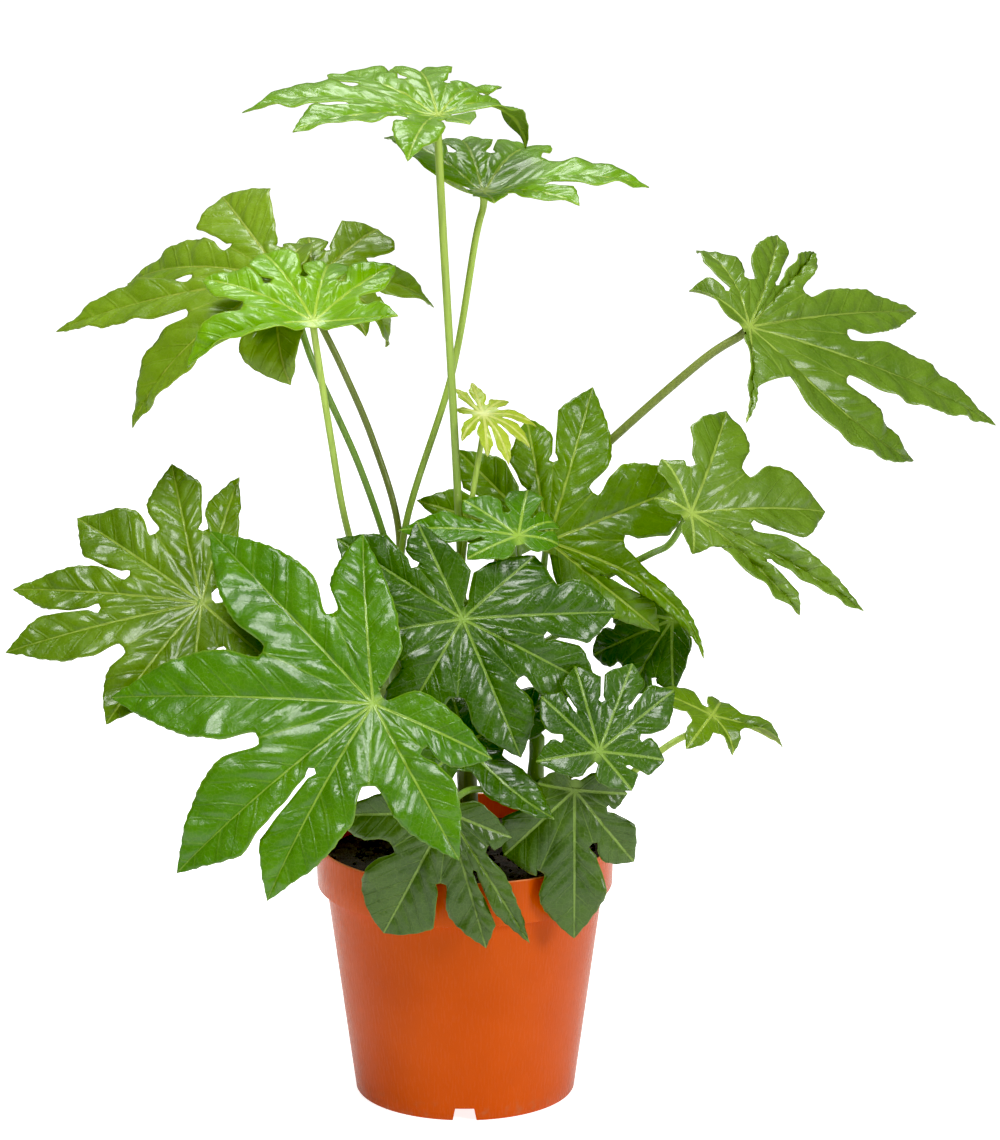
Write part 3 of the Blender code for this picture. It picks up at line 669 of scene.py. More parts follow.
def roll_tube(points, radii, sides):
    """A closed tube with its own radius at each point, closed flat at both ends."""
    points = [points[0], *points, points[-1]]
    radii = [0, *radii, 0]
    rows = len(points) - 1
    pick()
    bpy.ops.mesh.primitive_grid_add(
        x_subdivisions=sides, y_subdivisions=rows, size=2, location=(0, 0, 0))
    tube = bpy.context.object
    across = Vector((1, 0, 0))
    rings = []
    for i, (point, radius) in enumerate(zip(points, radii)):
        ahead = points[min(i + 1, rows)] - points[max(i - 1, 0)]
        ahead.normalize()
        across = (across - ahead * across.dot(ahead)).normalized()
        other = ahead.cross(across)
        rings.append([
            AXIS + point + radius * (math.cos(a) * across + math.sin(a) * other)
            for a in (2 * math.pi * k / sides for k in range(sides + 1))])
    for vertex in tube.data.vertices:
        column = round((vertex.co.x + 1) / 2 * sides)
        row = round((vertex.co.y + 1) / 2 * rows)
        vertex.co = rings[row][column] * MM
    bpy.ops.object.mode_set(mode="EDIT")
    bpy.ops.mesh.select_all(action="SELECT")
    bpy.ops.mesh.remove_doubles(threshold=0.00001)
    bpy.ops.mesh.normals_make_consistent(inside=False)
    bpy.ops.object.mode_set(mode="OBJECT")
    bpy.ops.object.shade_smooth()
    return tube


for name, trunk in TRUNKS.items():
    points = smooth_line(trunk, TUBE_STEP)
    last = len(points) - 1
    radii = []
    for i, point in enumerate(points):
        share = i / last
        radius = TRUNK_FOOT_RADIUS + (TRUNK_TOP_RADIUS - TRUNK_FOOT_RADIUS) * share
        knuckle = 0.35 * math.sin(share * 34) * share
        radii.append(radius + knuckle)
    points += [points[-1] + Vector((0, 0, 1.5)), points[-1] + Vector((0, 0, 2.6))]
    radii += [radii[-1] * 0.75, radii[-1] * 0.4]
    piece = roll_tube(points, radii, 24)
    piece.data.materials.append(skins["bark"])
    hand_over(piece, name.replace("shoot", "trunk"), "stem", name)

# %% [markdown]
# ## The leaves' measurements
# Each leaf has a hub where its ribs meet, a direction it faces, a lean and a list of lobes.
# A lobe is one finger: the direction it heads from the hub in the blade's own plane, its
# length, and how far it droops by its tip. Facing 0 is the front and 90 the right. Tilt 0
# lies level and 90 hangs upright. A heading of 0 points down the slope of the blade.

# %% What a lobe, a leaf and a stalk are
KEEL = 10


@dataclass
class Lobe:
    """One finger of a leaf, headed away from the hub in the blade's plane."""
    heading: float
    length: float
    droop: float
    width: float = 0
    fold: float = 0
    sway: float = 0
    blunt: float = 2.0
    bay: float = 0


@dataclass
class Leaf:
    """A blade: its hub's place, the way it faces and leans, and its lobes in order."""
    hub: tuple
    facing: float
    tilt: float
    lobes: list
    rise: float = 0
    web: float = 0.5
    breadth: float = 1
    keel: float = KEEL
    colour: str = "leaf"


@dataclass
class Stalk:
    """A leaf stalk: the height where it leaves its trunk, and points on its way."""
    leaf: str
    leaves_at: float
    via: list
    radius: float = 2.2


print("measures ready")

# %% The blades
# Facing 0 is the front and 90 the right; tilt 0 lies level and 90 hangs upright.
# A heading of 0 points down the slope of the blade and 90 to the right of that.
LEAVES = {
    "leaf_top": Leaf((-16, -15, 640), 0, 5, rise=16, web=0.5, breadth=1.1, colour="bright", lobes=[
        Lobe(-232, 88, 100),
        Lobe(-202, 85, 52),
        Lobe(-172, 104, 40),
        Lobe(-140, 108, 37),
        Lobe(-98, 125, 40),
        Lobe(-61, 102, 30, bay=0.36),
        Lobe(-11, 93, 38, width=36),
        Lobe(24, 50, 11, blunt=2.2),
    ]),
    "leaf_top_right": Leaf((12, 20, 584), 0, 8, rise=22, web=0.48, colour="bright", lobes=[
        Lobe(-53, 38, -20),
        Lobe(10, 40, 20),
        Lobe(51, 78, 32),
        Lobe(84, 106, 40),
        Lobe(158, 91, 55, width=48),
        Lobe(190, 89, 46),
        Lobe(221, 98, 36),
    ]),
    "leaf_cluster_front": Leaf((-93, -40, 515), -5, 25, rise=10, colour="bright", lobes=[
        Lobe(-276, 55, -4, fold=28),
        Lobe(-218, 75, 24),
        Lobe(-182, 76, 46),
        Lobe(-152, 88, 34),
        Lobe(-121, 88, 30),
        Lobe(-76, 88, 62, width=36, fold=36),
    ]),
    "leaf_cluster_left": Leaf((-113, 18, 528), -50, 35, rise=8, web=0.42, lobes=[
        Lobe(36, 80, 78, width=54),
        Lobe(-23, 138, 48, width=54),
        Lobe(-60, 172, 20, width=44),
        Lobe(-82, 162, 38, width=48),
        Lobe(-113, 122, 17, width=76),
        Lobe(-150, 50, 60),
    ]),
    "leaf_cluster_right": Leaf((-96, 32, 521), 30, 25, rise=8, lobes=[
        Lobe(-330, 50, 60),
        Lobe(-301, 74, 96),
        Lobe(-275, 98, 55, width=40),
        Lobe(-236, 90, 23, width=54),
        Lobe(-205, 58, 27),
    ]),
    "leaf_young": Leaf((12, -4, 446), 0, 20, breadth=0.45, web=0.3, colour="young", lobes=[
        Lobe(6, 32, 73),
        Lobe(29, 41, 71),
        Lobe(62, 38, 58),
        Lobe(97, 37, 48),
        Lobe(150, 34, 40),
        Lobe(192, 35, -3),
        Lobe(214, 31, -8),
        Lobe(238, 22, 28),
        Lobe(318, 24, 65),
    ]),
    "leaf_right_high": Leaf((181, 60, 487), 45, 48, rise=6, web=0.42, lobes=[
        Lobe(-34, 74, 25, width=14, fold=50),
        Lobe(21, 153, 31, width=46, sway=62),
        Lobe(58, 198, 20, width=42),
        Lobe(84, 154, 19, width=36),
        Lobe(114, 107, 23, width=24, fold=40),
        Lobe(129, 97, 24, width=34),
        Lobe(165, 80, 58, width=34),
        Lobe(202, 48, 60, width=28, fold=40),
    ]),
    "leaf_right_mid": Leaf((142, -30, 389), 25, 52, rise=4, lobes=[
        Lobe(-8, 27, 50, width=20, fold=40),
        Lobe(40, 96, 30, width=28, fold=35),
        Lobe(53, 128, 18, width=28, fold=35, bay=0.34),
        Lobe(87, 101, 28, width=58),
        Lobe(144, 90, 30, width=44),
        Lobe(184, 46, 45, width=26),
        Lobe(225, 28, 70, width=18),
    ]),
    "leaf_back_centre": Leaf((53, 18, 357), 5, 72, rise=4, web=0.4, colour="bright", lobes=[
        Lobe(-109, 88, 19),
        Lobe(-137, 83, 22),
        Lobe(-172, 81, 21, width=36, bay=0.55),
        Lobe(-198, 104, 20, width=48),
        Lobe(-249, 106, 21, width=56),
        Lobe(-290, 132, -22, width=14, sway=-64),
        Lobe(-310, 92, 17),
    ]),
    "leaf_small_arched": Leaf((34, -29, 374), 0, 40, web=0.4, lobes=[
        Lobe(-66, 36, 22),
        Lobe(-100, 79, 24, width=26),
        Lobe(-130, 46, 10),
        Lobe(-188, 46, 36, blunt=2.2),
        Lobe(-232, 34, 57, blunt=2.2),
        Lobe(-272, 28, 49, blunt=2.2),
    ]),
    "leaf_centre": Leaf((-1, -48, 325), 0, 66, rise=6, web=0.54, breadth=1.05, colour="dark", lobes=[
        Lobe(-228, 62, 25, blunt=2.6, bay=0.8),
        Lobe(-267, 97, 20, width=50),
        Lobe(-297, 96, 25),
        Lobe(-337, 95, 26),
        Lobe(-390, 90, 30),
        Lobe(-441, 88, 28),
        Lobe(-483, 95, 18),
        Lobe(-515, 68, 6),
    ]),
    "leaf_front_left": Leaf((-56, -112, 289), -12, 58, rise=6, web=0.46, lobes=[
        Lobe(70, 83, 29, blunt=2.2),
        Lobe(34, 114, 30, bay=0.43),
        Lobe(-24, 140, 31, width=58, bay=0.36),
        Lobe(-46, 163, 29, width=66, bay=0.44),
        Lobe(-89, 172, 24, width=58),
        Lobe(-132, 163, 23, width=56),
        Lobe(-169, 116, 27, width=44),
    ]),
    "leaf_left": Leaf((-165, -28, 330), -15, 50, rise=4, web=0.5, lobes=[
        Lobe(54, 66, 0),
        Lobe(6, 80, 8),
        Lobe(-29, 98, 16),
        Lobe(-71, 130, 14, width=44),
        Lobe(-91, 128, 16, width=36, bay=0.43),
        Lobe(-120, 110, 17, width=50, bay=0.54),
        Lobe(-158, 103, 12, width=44),
        Lobe(-184, 92, 18, width=30),
    ]),
    "leaf_small_glossy": Leaf((84, -92, 252), 5, 60, rise=4, web=0.52, breadth=1.1, colour="dark", lobes=[
        Lobe(-83, 40, 18),
        Lobe(-137, 51, 18),
        Lobe(-168, 58, 20),
        Lobe(-203, 62, 17),
        Lobe(-232, 63, 13),
        Lobe(-278, 42, 20, blunt=2.2),
        Lobe(-322, 32, 19, blunt=2.2),
    ]),
    "leaf_over_rim_right": Leaf((69, -82, 224), 0, 84, web=0.5, colour="dark", lobes=[
        Lobe(-96, 26, 50),
        Lobe(-46, 62, 8, width=52, bay=0.72),
        Lobe(0, 97, 10, width=48, bay=0.46),
        Lobe(38, 62, 21, width=36),
        Lobe(84, 34, 19),
    ]),
    "leaf_over_rim_left": Leaf((-10, -103, 216), 0, 86, web=0.5, colour="dark", lobes=[
        Lobe(-88, 74, 5, bay=0.5),
        Lobe(-27, 89, 8, width=62, blunt=3.2),
        Lobe(15, 92, 7, width=37, bay=0.42),
        Lobe(31, 99, 3, width=20),
        Lobe(66, 44, 17),
    ]),
    "leaf_inner_dark": Leaf((0, -59, 247), 15, 45, web=0.3, colour="dark", lobes=[
        Lobe(-53, 56, -5),
        Lobe(31, 84, -36, width=32),
        Lobe(113, 84, 1),
        Lobe(180, 50, 30),
    ]),
    "leaf_right_dark": Leaf((132, 34, 301), -25, 70, web=0.75, colour="dark", lobes=[
        Lobe(8, 46, 15, blunt=2.2),
        Lobe(-26, 57, 16, blunt=2.2),
        Lobe(-62, 62, 18, blunt=2.2),
        Lobe(-96, 46, 27, blunt=2.2),
    ]),
    "leaf_right_low": Leaf((157, -10, 251), 55, 35, rise=4, colour="bright", lobes=[
        Lobe(-140, 44, 12, width=28),
        Lobe(-74, 36, 53, width=22),
        Lobe(0, 30, 60, width=18),
        Lobe(50, 58, 28, width=20, fold=50),
        Lobe(110, 30, 40, width=18),
    ]),
    "leaf_rear_left": Leaf((-62, 74, 262), 165, 48, rise=4, lobes=[
        Lobe(-110, 52, 25),
        Lobe(-68, 70, 25),
        Lobe(-30, 84, 25),
        Lobe(6, 90, 25),
        Lobe(44, 82, 25),
        Lobe(82, 66, 25),
        Lobe(122, 48, 25),
    ]),
}

print(len(LEAVES), "blades,", sum(len(leaf.lobes) for leaf in LEAVES.values()), "lobes")

# %% The stalks
STALKS = {
    "shoot_left": [
        Stalk("leaf_cluster_front", 300, [(-57, 5, 312), (-74, -12, 376), (-83, -25, 435)]),
        Stalk("leaf_cluster_left", 306, [(-46, 8, 345), (-66, 4, 410), (-96, 6, 480)]),
        Stalk("leaf_cluster_right", 312, [(-42, 18, 367), (-58, 28, 421), (-78, 28, 470)]),
        Stalk("leaf_top_right", 296, [(-37, 12, 370), (-8, 17, 466), (7, 20, 552)]),
        Stalk("leaf_left", 232, [(-79, 0, 268), (-123, -2, 295)]),
        Stalk("leaf_front_left", 205, [(-46, -28, 228), (-52, -76, 250)]),
        Stalk("leaf_rear_left", 205, [(-46, 40, 225)]),
    ],
    "shoot_centre": [
        Stalk("leaf_top", 300, [(-4, 0, 389), (-8, -6, 472), (-13, -12, 566)], 2.5),
        Stalk("leaf_young", 312, [(-1, 1, 350), (5, -1, 391)], 1.8),
        Stalk("leaf_right_high", 290, [(30, 42, 353), (86, 66, 404), (149, 68, 461)], 2.8),
        Stalk("leaf_right_mid", 270, [
            (29, 24, 292), (61, 42, 312), (90, 40, 328), (117, 20, 348), (129, -6, 362)]),
        Stalk("leaf_small_arched", 284, [(18, 4, 312), (33, -2, 341)], 1.8),
        Stalk("leaf_centre", 262, [(-1, -12, 292)]),
        Stalk("leaf_right_dark", 250, [(35, 40, 274), (86, 74, 292), (124, 66, 298)]),
    ],
    "shoot_right": [
        Stalk("leaf_back_centre", 216, [(48, 8, 260), (47, 24, 300), (50, 36, 332)]),
        Stalk("leaf_small_glossy", 206, [(60, -35, 215), (76, -66, 234)], 1.8),
        Stalk("leaf_over_rim_right", 190, [(54, -35, 200), (66, -62, 216)]),
        Stalk("leaf_over_rim_left", 196, [(28, -42, 210), (3, -77, 222)]),
        Stalk("leaf_inner_dark", 198, [(26, -20, 210), (10, -38, 228)]),
        Stalk("leaf_right_low", 180, [(73, -22, 192), (98, -22, 210), (130, -18, 234)]),
    ],
}

print(sum(len(stalks) for stalks in STALKS.values()), "stalks")

# %% Roll the stalks
def leaf_normal(leaf):
    """The direction a blade's upper face looks in at its hub."""
    facing = math.radians(leaf.facing)
    tilt = math.radians(leaf.tilt)
    return Vector((
        math.sin(tilt) * math.sin(facing), -math.sin(tilt) * math.cos(facing), math.cos(tilt)))


def point_at_height(trunk, height):
    """The point of a trunk's line at a given height."""
    for low, high in zip(trunk, trunk[1:]):
        if height <= high[2]:
            break
    share = (height - low[2]) / (high[2] - low[2])
    return Vector(low).lerp(Vector(high), share)


SKIN_OF = {
    "leaf_cluster_front": "lime", "leaf_top": "lime", "leaf_top_right": "lime",
    "leaf_young": "lime", "leaf_cluster_right": "olive", "leaf_right_high": "olive",
    "leaf_right_low": "lime",
}
CLASP = 14
for shoot, stalks in STALKS.items():
    for stalk in stalks:
        leaf = LEAVES[stalk.leaf]
        hub = Vector(leaf.hub)
        normal = leaf_normal(leaf)
        knots = [
            point_at_height(TRUNKS[shoot], stalk.leaves_at), *stalk.via,
            hub - normal * 11, hub - normal * 0.6]
        points = smooth_line(knots, TUBE_STEP)
        last = len(points) - 1
        length = sum((b - a).length for a, b in zip(points, points[1:]))
        radii = []
        for i in range(last + 1):
            run = length * i / last
            clasp = 1.6 * (1 - ease(run / CLASP))
            swelling = 0.55 * ease(1 - (length - run) / 12)
            radii.append(float(stalk.radius + clasp + swelling))
        piece = roll_tube(points, radii, TUBE_SIDES)
        piece.data.materials.append(skins[SKIN_OF.get(stalk.leaf, "green")])
        hand_over(piece, stalk.leaf.replace("leaf", "stalk"), "stem", shoot)

# %% [markdown]
# ## A leaf blade
# A fatsia blade is a leathery hand. Pale ribs run from the hub to each tip, side veins leave
# each rib at a slant, and the skin bulges between the veins like a quilt. The bays between
# the lobes are round at the bottom. Each lobe starts as a flat grid that is moved to its
# place by the same measures as the plain solid, only much finer. The lobes are then joined
# and merged along the web, and Solidify gives the sheet its thickness, with more at the
# ribs, which stand out underneath.

# %% The bent line of a rib, and a point beside it
RIB_STEPS = 32
HUB_FLAT = 14


def rib_line(leaf, lobe):
    """Stations, places, headings and pitches along a lobe's bent midrib."""
    shares = np.linspace(0, 1, RIB_STEPS + 1)
    headings = np.radians(lobe.heading + lobe.sway * shares ** 2)
    lift = leaf.rise * ease(shares * lobe.length / HUB_FLAT)
    pitches = np.radians(lift - lobe.droop * shares ** 1.3)
    steps = np.stack([
        np.cos(pitches) * np.cos(headings), np.cos(pitches) * np.sin(headings), np.sin(pitches),
    ], axis=-1) * lobe.length / RIB_STEPS
    places = np.vstack([np.zeros(3), np.cumsum(steps[:-1], axis=0)])
    return shares * lobe.length, places, headings, pitches


def beside_rib(leaf, lobe, rib, along, across):
    """Where flat points of a lobe lie once the lobe is bent and keeled."""
    stations, places, headings, pitches = rib
    heading = np.interp(along, stations, headings)
    pitch = np.interp(along, stations, pitches)
    place = np.stack([np.interp(along, stations, places[:, i]) for i in range(3)], axis=-1)
    side = np.stack([-np.sin(heading), np.cos(heading), 0 * heading], axis=-1)
    up = np.stack([
        -np.sin(pitch) * np.cos(heading), -np.sin(pitch) * np.sin(heading), np.cos(pitch)], axis=-1)
    ahead = np.stack([np.cos(heading), np.sin(heading), 0 * heading], axis=-1)
    keel = np.radians(lobe.fold or leaf.keel) * ease(along / (2 * HUB_FLAT))
    place = place + (across * np.cos(keel))[..., None] * side
    place = place + (np.abs(across) * np.sin(keel))[..., None] * up
    return place + np.minimum(along, 0)[..., None] * ahead


print("rib helpers ready")

# %% The outline of a lobe
BASAL_SINUS = 7
WIDEST = 0.28
DRAWN_TIP = 0.25
CLEARANCE = 0.8
WEB_ROWS = 18
ROW_STEP = 2.4
HALF_COLUMNS = 9
TOOTH = 0.7
TOOTH_ROWS = 3


def gap_after(leaf, index):
    """The angle and the bay's distance between a lobe and the next one round the hub."""
    lobe = leaf.lobes[index]
    other = leaf.lobes[(index + 1) % len(leaf.lobes)]
    turn = 1 if leaf.lobes[1].heading > leaf.lobes[0].heading else -1
    angle = (turn * (other.heading - lobe.heading)) % 360
    if index == len(leaf.lobes) - 1:
        return angle, BASAL_SINUS
    return angle, (lobe.bay or leaf.web) * math.sqrt(lobe.length * other.length)


def lobe_edge(leaf, lobe, half, bay, rows):
    """The margin of one side of a lobe, as distances along and across its rib."""
    free_rows = rows - WEB_ROWS
    reach = bay * np.minimum(np.arange(rows + 1) / WEB_ROWS, 1)
    along = reach * math.cos(half)
    across = reach * math.sin(half)
    share = np.arange(1, free_rows + 1) / free_rows
    start = bay * math.cos(half)
    foot = bay * math.sin(half)
    widest = (lobe.width or leaf.breadth * (17 + 0.25 * lobe.length)) / 2
    free_along = start + (lobe.length - start) * share
    swell = foot + (widest - foot) * ease(share / WIDEST)
    end = np.clip((share - WIDEST) / (1 - WIDEST), 0, 1)
    taper = widest * ((1 - DRAWN_TIP) * (1 - end ** lobe.blunt) + DRAWN_TIP * (1 - ease(end)))
    free_across = np.where(share < WIDEST, swell, taper)
    run = free_along - start
    bay_radius = min(3.5, 0.3 * foot)
    notch = np.sqrt(np.clip(1 - (1 - np.clip(run / bay_radius, 0, 1)) ** 2, 0, 1))
    notch = bay_radius * notch * (1 - ease((run - bay_radius) / (6 * bay_radius)))
    teeth = (np.arange(1, free_rows + 1) % TOOTH_ROWS) / (TOOTH_ROWS - 1)
    strength = TOOTH * ease((share - 0.15) / 0.3) * ease((1 - share) / 0.08)
    free_across = free_across - notch + strength * (teeth - 0.5)
    limit = np.where(half < math.radians(85), free_along * math.tan(half) - CLEARANCE, 999)
    free_across = np.clip(np.minimum(free_across, limit), 0, None)
    free_across[-1] = 0
    along[WEB_ROWS + 1:] = free_along
    across[WEB_ROWS + 1:] = free_across
    return along, across


print("outline helper ready")

# %% A lobe as a fine grid of flat points
def flat_lobe(leaf, index, rows):
    """Distances along and across the rib for each row and column of a lobe's grid."""
    lobe = leaf.lobes[index]
    edges = []
    for gap_index in (index - 1, index):
        angle, bay = gap_after(leaf, gap_index % len(leaf.lobes))
        edges.append((math.radians(min(angle / 2, 85)), bay))
    middle = sum(bay * math.cos(half) for half, bay in edges) / 2
    row = np.arange(rows + 1)
    free = np.clip((row - WEB_ROWS) / (rows - WEB_ROWS), 0, 1)
    rib_along = middle * np.minimum(row / WEB_ROWS, 1) + (lobe.length - middle) * free
    columns = np.linspace(-1, 1, 2 * HALF_COLUMNS + 1)
    fraction = np.abs(columns) ** 1.25
    along = np.zeros((rows + 1, len(columns)))
    across = np.zeros_like(along)
    for side, (half, bay) in zip((-1, 1), edges):
        edge_along, edge_across = lobe_edge(leaf, lobe, half, bay, rows)
        chosen = columns * side >= 0
        part = fraction[chosen]
        along[:, chosen] = rib_along[:, None] + (edge_along - rib_along)[:, None] * part
        across[:, chosen] = side * edge_across[:, None] * part
    return along, across, columns, edges


def bend_lobe(leaf, ribs, index, along, across, edges):
    """Bend a lobe's flat points, and ease them over to the next lobe in the web."""
    lobe = leaf.lobes[index]
    turn = 1 if leaf.lobes[1].heading > leaf.lobes[0].heading else -1
    place = beside_rib(leaf, lobe, ribs[index], along, turn * across)
    bearing = np.arctan2(np.abs(across), np.maximum(along, 1e-6))
    reach = np.hypot(along, across)
    for side, (half, bay) in zip((-1, 1), edges):
        other = (index + side) % len(leaf.lobes)
        there = beside_rib(
            leaf, leaf.lobes[other], ribs[other], reach * np.cos(bearing - 2 * half),
            turn * side * reach * np.sin(bearing - 2 * half))
        fade = 1 - ease((reach - bay) / (0.5 * bay))
        share = 0.5 * ease(bearing / half) * fade * (across * side > 0)
        place = place + (there - place) * share[..., None]
    return place


print("bending helpers ready")

# %% Quilting, waves and the map of the veins
QUILT = 2.0
WAVE = 1.3
HILLS = 0.4


def vein_phase(lobe, along, across):
    """Counts the side veins: a whole number lies on a vein, a half in the middle of a panel."""
    spacing = 4 + 0.085 * lobe.length
    line = along - 0.85 * np.abs(across) - 0.010 * across ** 2
    return line / spacing + 0.16 * np.sin(line / 7.3 + lobe.heading)


def relief(lobe, along, across, columns, rows, chance):
    """How far the skin stands up from the plain sheet, in millimetres."""
    phase = vein_phase(lobe, along, across) + 0.5 * (columns > 0)
    heights = np.array([[chance.uniform(0.5, 1.3) for _ in range(64)] for _ in range(2)])
    height = heights[(columns > 0).astype(int)[None, :], np.floor(phase).astype(int) % 64]
    panel = height * (1 - np.abs(2 * (phase % 1) - 1) ** 2.2)
    edge = np.abs(columns)[None, :]
    belly = np.sin(math.pi * edge) ** 0.8
    size = min(1, lobe.length / 90)
    near_tip = ease((lobe.length - along) / (0.15 * lobe.length))
    quilt = QUILT * size * panel * belly * ease(along / 30) * near_tip
    free = np.clip((np.arange(rows + 1) - WEB_ROWS) / (rows - WEB_ROWS), 0, 1)[:, None]
    waves = np.sin(along / (4.5 + 2 * chance.random()) + 6 * chance.random())
    waves = waves + 0.6 * np.sin(along / 3.1 + 6 * chance.random()) * np.sign(columns)
    wave = WAVE * size * waves * edge ** 2 * ease(free / 0.3) * ease((1 - free) / 0.15)
    swirl = 6 * chance.random()
    hills = np.sin(along / 2.6 + 1.7 * np.sin(across / 4.1 + swirl)) * np.sin(across / 2.9 + swirl)
    return quilt + wave + HILLS * size * hills * belly * ease(along / 30) * near_tip


def shift_along_normal(place, height):
    """Move a grid of points by a height along its own normals."""
    down_rows = np.gradient(place, axis=0)
    over_columns = np.gradient(place, axis=1)
    normal = np.cross(over_columns, down_rows)
    normal[0] = normal[1]
    normal[-1] = normal[-2]
    length = np.linalg.norm(normal, axis=-1, keepdims=True)
    normal = normal / np.maximum(length, 1e-9)
    if normal[1:4, :, 2].mean() < 0:
        normal = -normal
    return place + normal * height[..., None]


print("relief helpers ready")

# %% Make one lobe from a grid
def make_lobe(leaf, ribs, index, chance):
    """One finger of a blade, with its rib map and its vein map."""
    lobe = leaf.lobes[index]
    rows = WEB_ROWS + max(12, round(lobe.length * (1 - leaf.web * 0.8) / ROW_STEP))
    along, across, columns, edges = flat_lobe(leaf, index, rows)
    place = bend_lobe(leaf, ribs, index, along, across, edges)
    place = shift_along_normal(place, relief(lobe, along, across, columns, rows, chance))
    pick()
    bpy.ops.mesh.primitive_grid_add(
        x_subdivisions=2 * HALF_COLUMNS, y_subdivisions=rows, size=2, location=(0, 0, 0))
    finger = bpy.context.object
    mesh = finger.data
    coordinates = np.empty(len(mesh.vertices) * 3)
    mesh.vertices.foreach_get("co", coordinates)
    coordinates = coordinates.reshape(-1, 3)
    column = np.rint((coordinates[:, 0] + 1) * HALF_COLUMNS).astype(int)
    row = np.rint((coordinates[:, 1] + 1) / 2 * rows).astype(int)
    mesh.vertices.foreach_set("co", (place[row, column] * MM).ravel())
    corner = np.empty(len(mesh.loops), dtype=int)
    mesh.loops.foreach_get("vertex_index", corner)
    right = np.repeat(column[corner].reshape(-1, 4).mean(axis=1) > HALF_COLUMNS, 4)
    corner_row = row[corner]
    corner_column = column[corner]
    corner_along = along[corner_row, corner_column]
    corner_across = across[corner_row, corner_column]
    rib_map = mesh.uv_layers["UVMap"]
    rib_map.data.foreach_set(
        "uv", np.stack([corner_across / 100, corner_along / 100], axis=-1).ravel())
    phase = vein_phase(lobe, corner_along, corner_across) + 0.5 * right + 40 * (index + 1)
    vein_map = mesh.uv_layers.new(name="VeinMap")
    fraction = np.abs(columns)[corner_column]
    vein_map.data.foreach_set("uv", np.stack([phase, fraction], axis=-1).ravel())
    ribs_group = finger.vertex_groups.new(name="rib")
    for vertex_index, (r, c) in enumerate(zip(row, column)):
        if abs(across[r, c]) < 2.6:
            share = (1 - abs(across[r, c]) / 2.6) * (1 - 0.8 * along[r, c] / lobe.length)
            ribs_group.add([vertex_index], float(share), "REPLACE")
    return finger


print("lobe builder ready")

# %% Join the lobes into a blade
BLADE_THICKNESS = 1.6
THIN_SHARE = 0.42
BOX_MARGIN = 0.05


def squeeze_into_box(blade, hub):
    """Draw a blade in towards its hub where it would stick out of the plain model's box."""
    places = np.empty(len(blade.data.vertices) * 3)
    blade.data.vertices.foreach_get("co", places)
    places = places.reshape(-1, 3)
    for axis in range(3):
        for side, wall in ((-1, cad_box[0][axis]), (1, cad_box[1][axis])):
            away = side * (places[:, axis] - hub[axis])
            room = side * (wall - hub[axis]) - BOX_MARGIN * MM
            if away.max() > room:
                share = np.where(away > 0, room / away.max(), 1)
                places[:, axis] = hub[axis] + (places[:, axis] - hub[axis]) * share
    blade.data.vertices.foreach_set("co", places.ravel())
    blade.data.update()


def make_blade(name, leaf, skin, back_skin):
    """A whole blade: its lobes joined along the web, set at its hub and thickened."""
    chance = random.Random(name)
    ribs = [rib_line(leaf, lobe) for lobe in leaf.lobes]
    fingers = [make_lobe(leaf, ribs, index, chance) for index in range(len(leaf.lobes))]
    pick(*fingers)
    bpy.ops.object.join()
    blade = fingers[0]
    bpy.ops.object.mode_set(mode="EDIT")
    bpy.ops.mesh.select_all(action="SELECT")
    bpy.ops.mesh.remove_doubles(threshold=0.00004)
    bpy.ops.mesh.normals_make_consistent(inside=False)
    bpy.ops.object.mode_set(mode="OBJECT")
    hub = min(blade.data.vertices, key=lambda vertex: vertex.co.length)
    if hub.normal.z < 0:
        bpy.ops.object.mode_set(mode="EDIT")
        bpy.ops.mesh.flip_normals()
        bpy.ops.object.mode_set(mode="OBJECT")
    blade.location = (AXIS + Vector(leaf.hub)) * MM
    blade.rotation_euler = (0, math.radians(leaf.tilt), math.radians(leaf.facing - 90))
    settle(blade)
    blade.data.materials.append(skin)
    blade.data.materials.append(back_skin)
    sheet = blade.modifiers.new("thickness", "SOLIDIFY")
    sheet.thickness = BLADE_THICKNESS * MM
    sheet.offset = -1
    sheet.vertex_group = "rib"
    sheet.thickness_vertex_group = THIN_SHARE
    sheet.material_offset = 1
    apply_modifiers(blade)
    squeeze_into_box(blade, (AXIS + Vector(leaf.hub)) * MM)
    blade.vertex_groups.clear()
    bpy.ops.object.shade_smooth()
    return blade


print("blade builder ready")

# %% [markdown]
# ## The leaves' finish
# The skin of a fatsia leaf is waxy. Its green is deep on the old inner leaves and yellower on
# the young ones near the top, and light that falls through the blade makes it glow. Ribs
# are pale, side veins a little paler than the panels, and a fine net of veins runs in each
# panel. The back is paler and dull. The rib map gives the distance from the rib and the
# vein map counts the side veins, so that the lines follow every bent lobe.

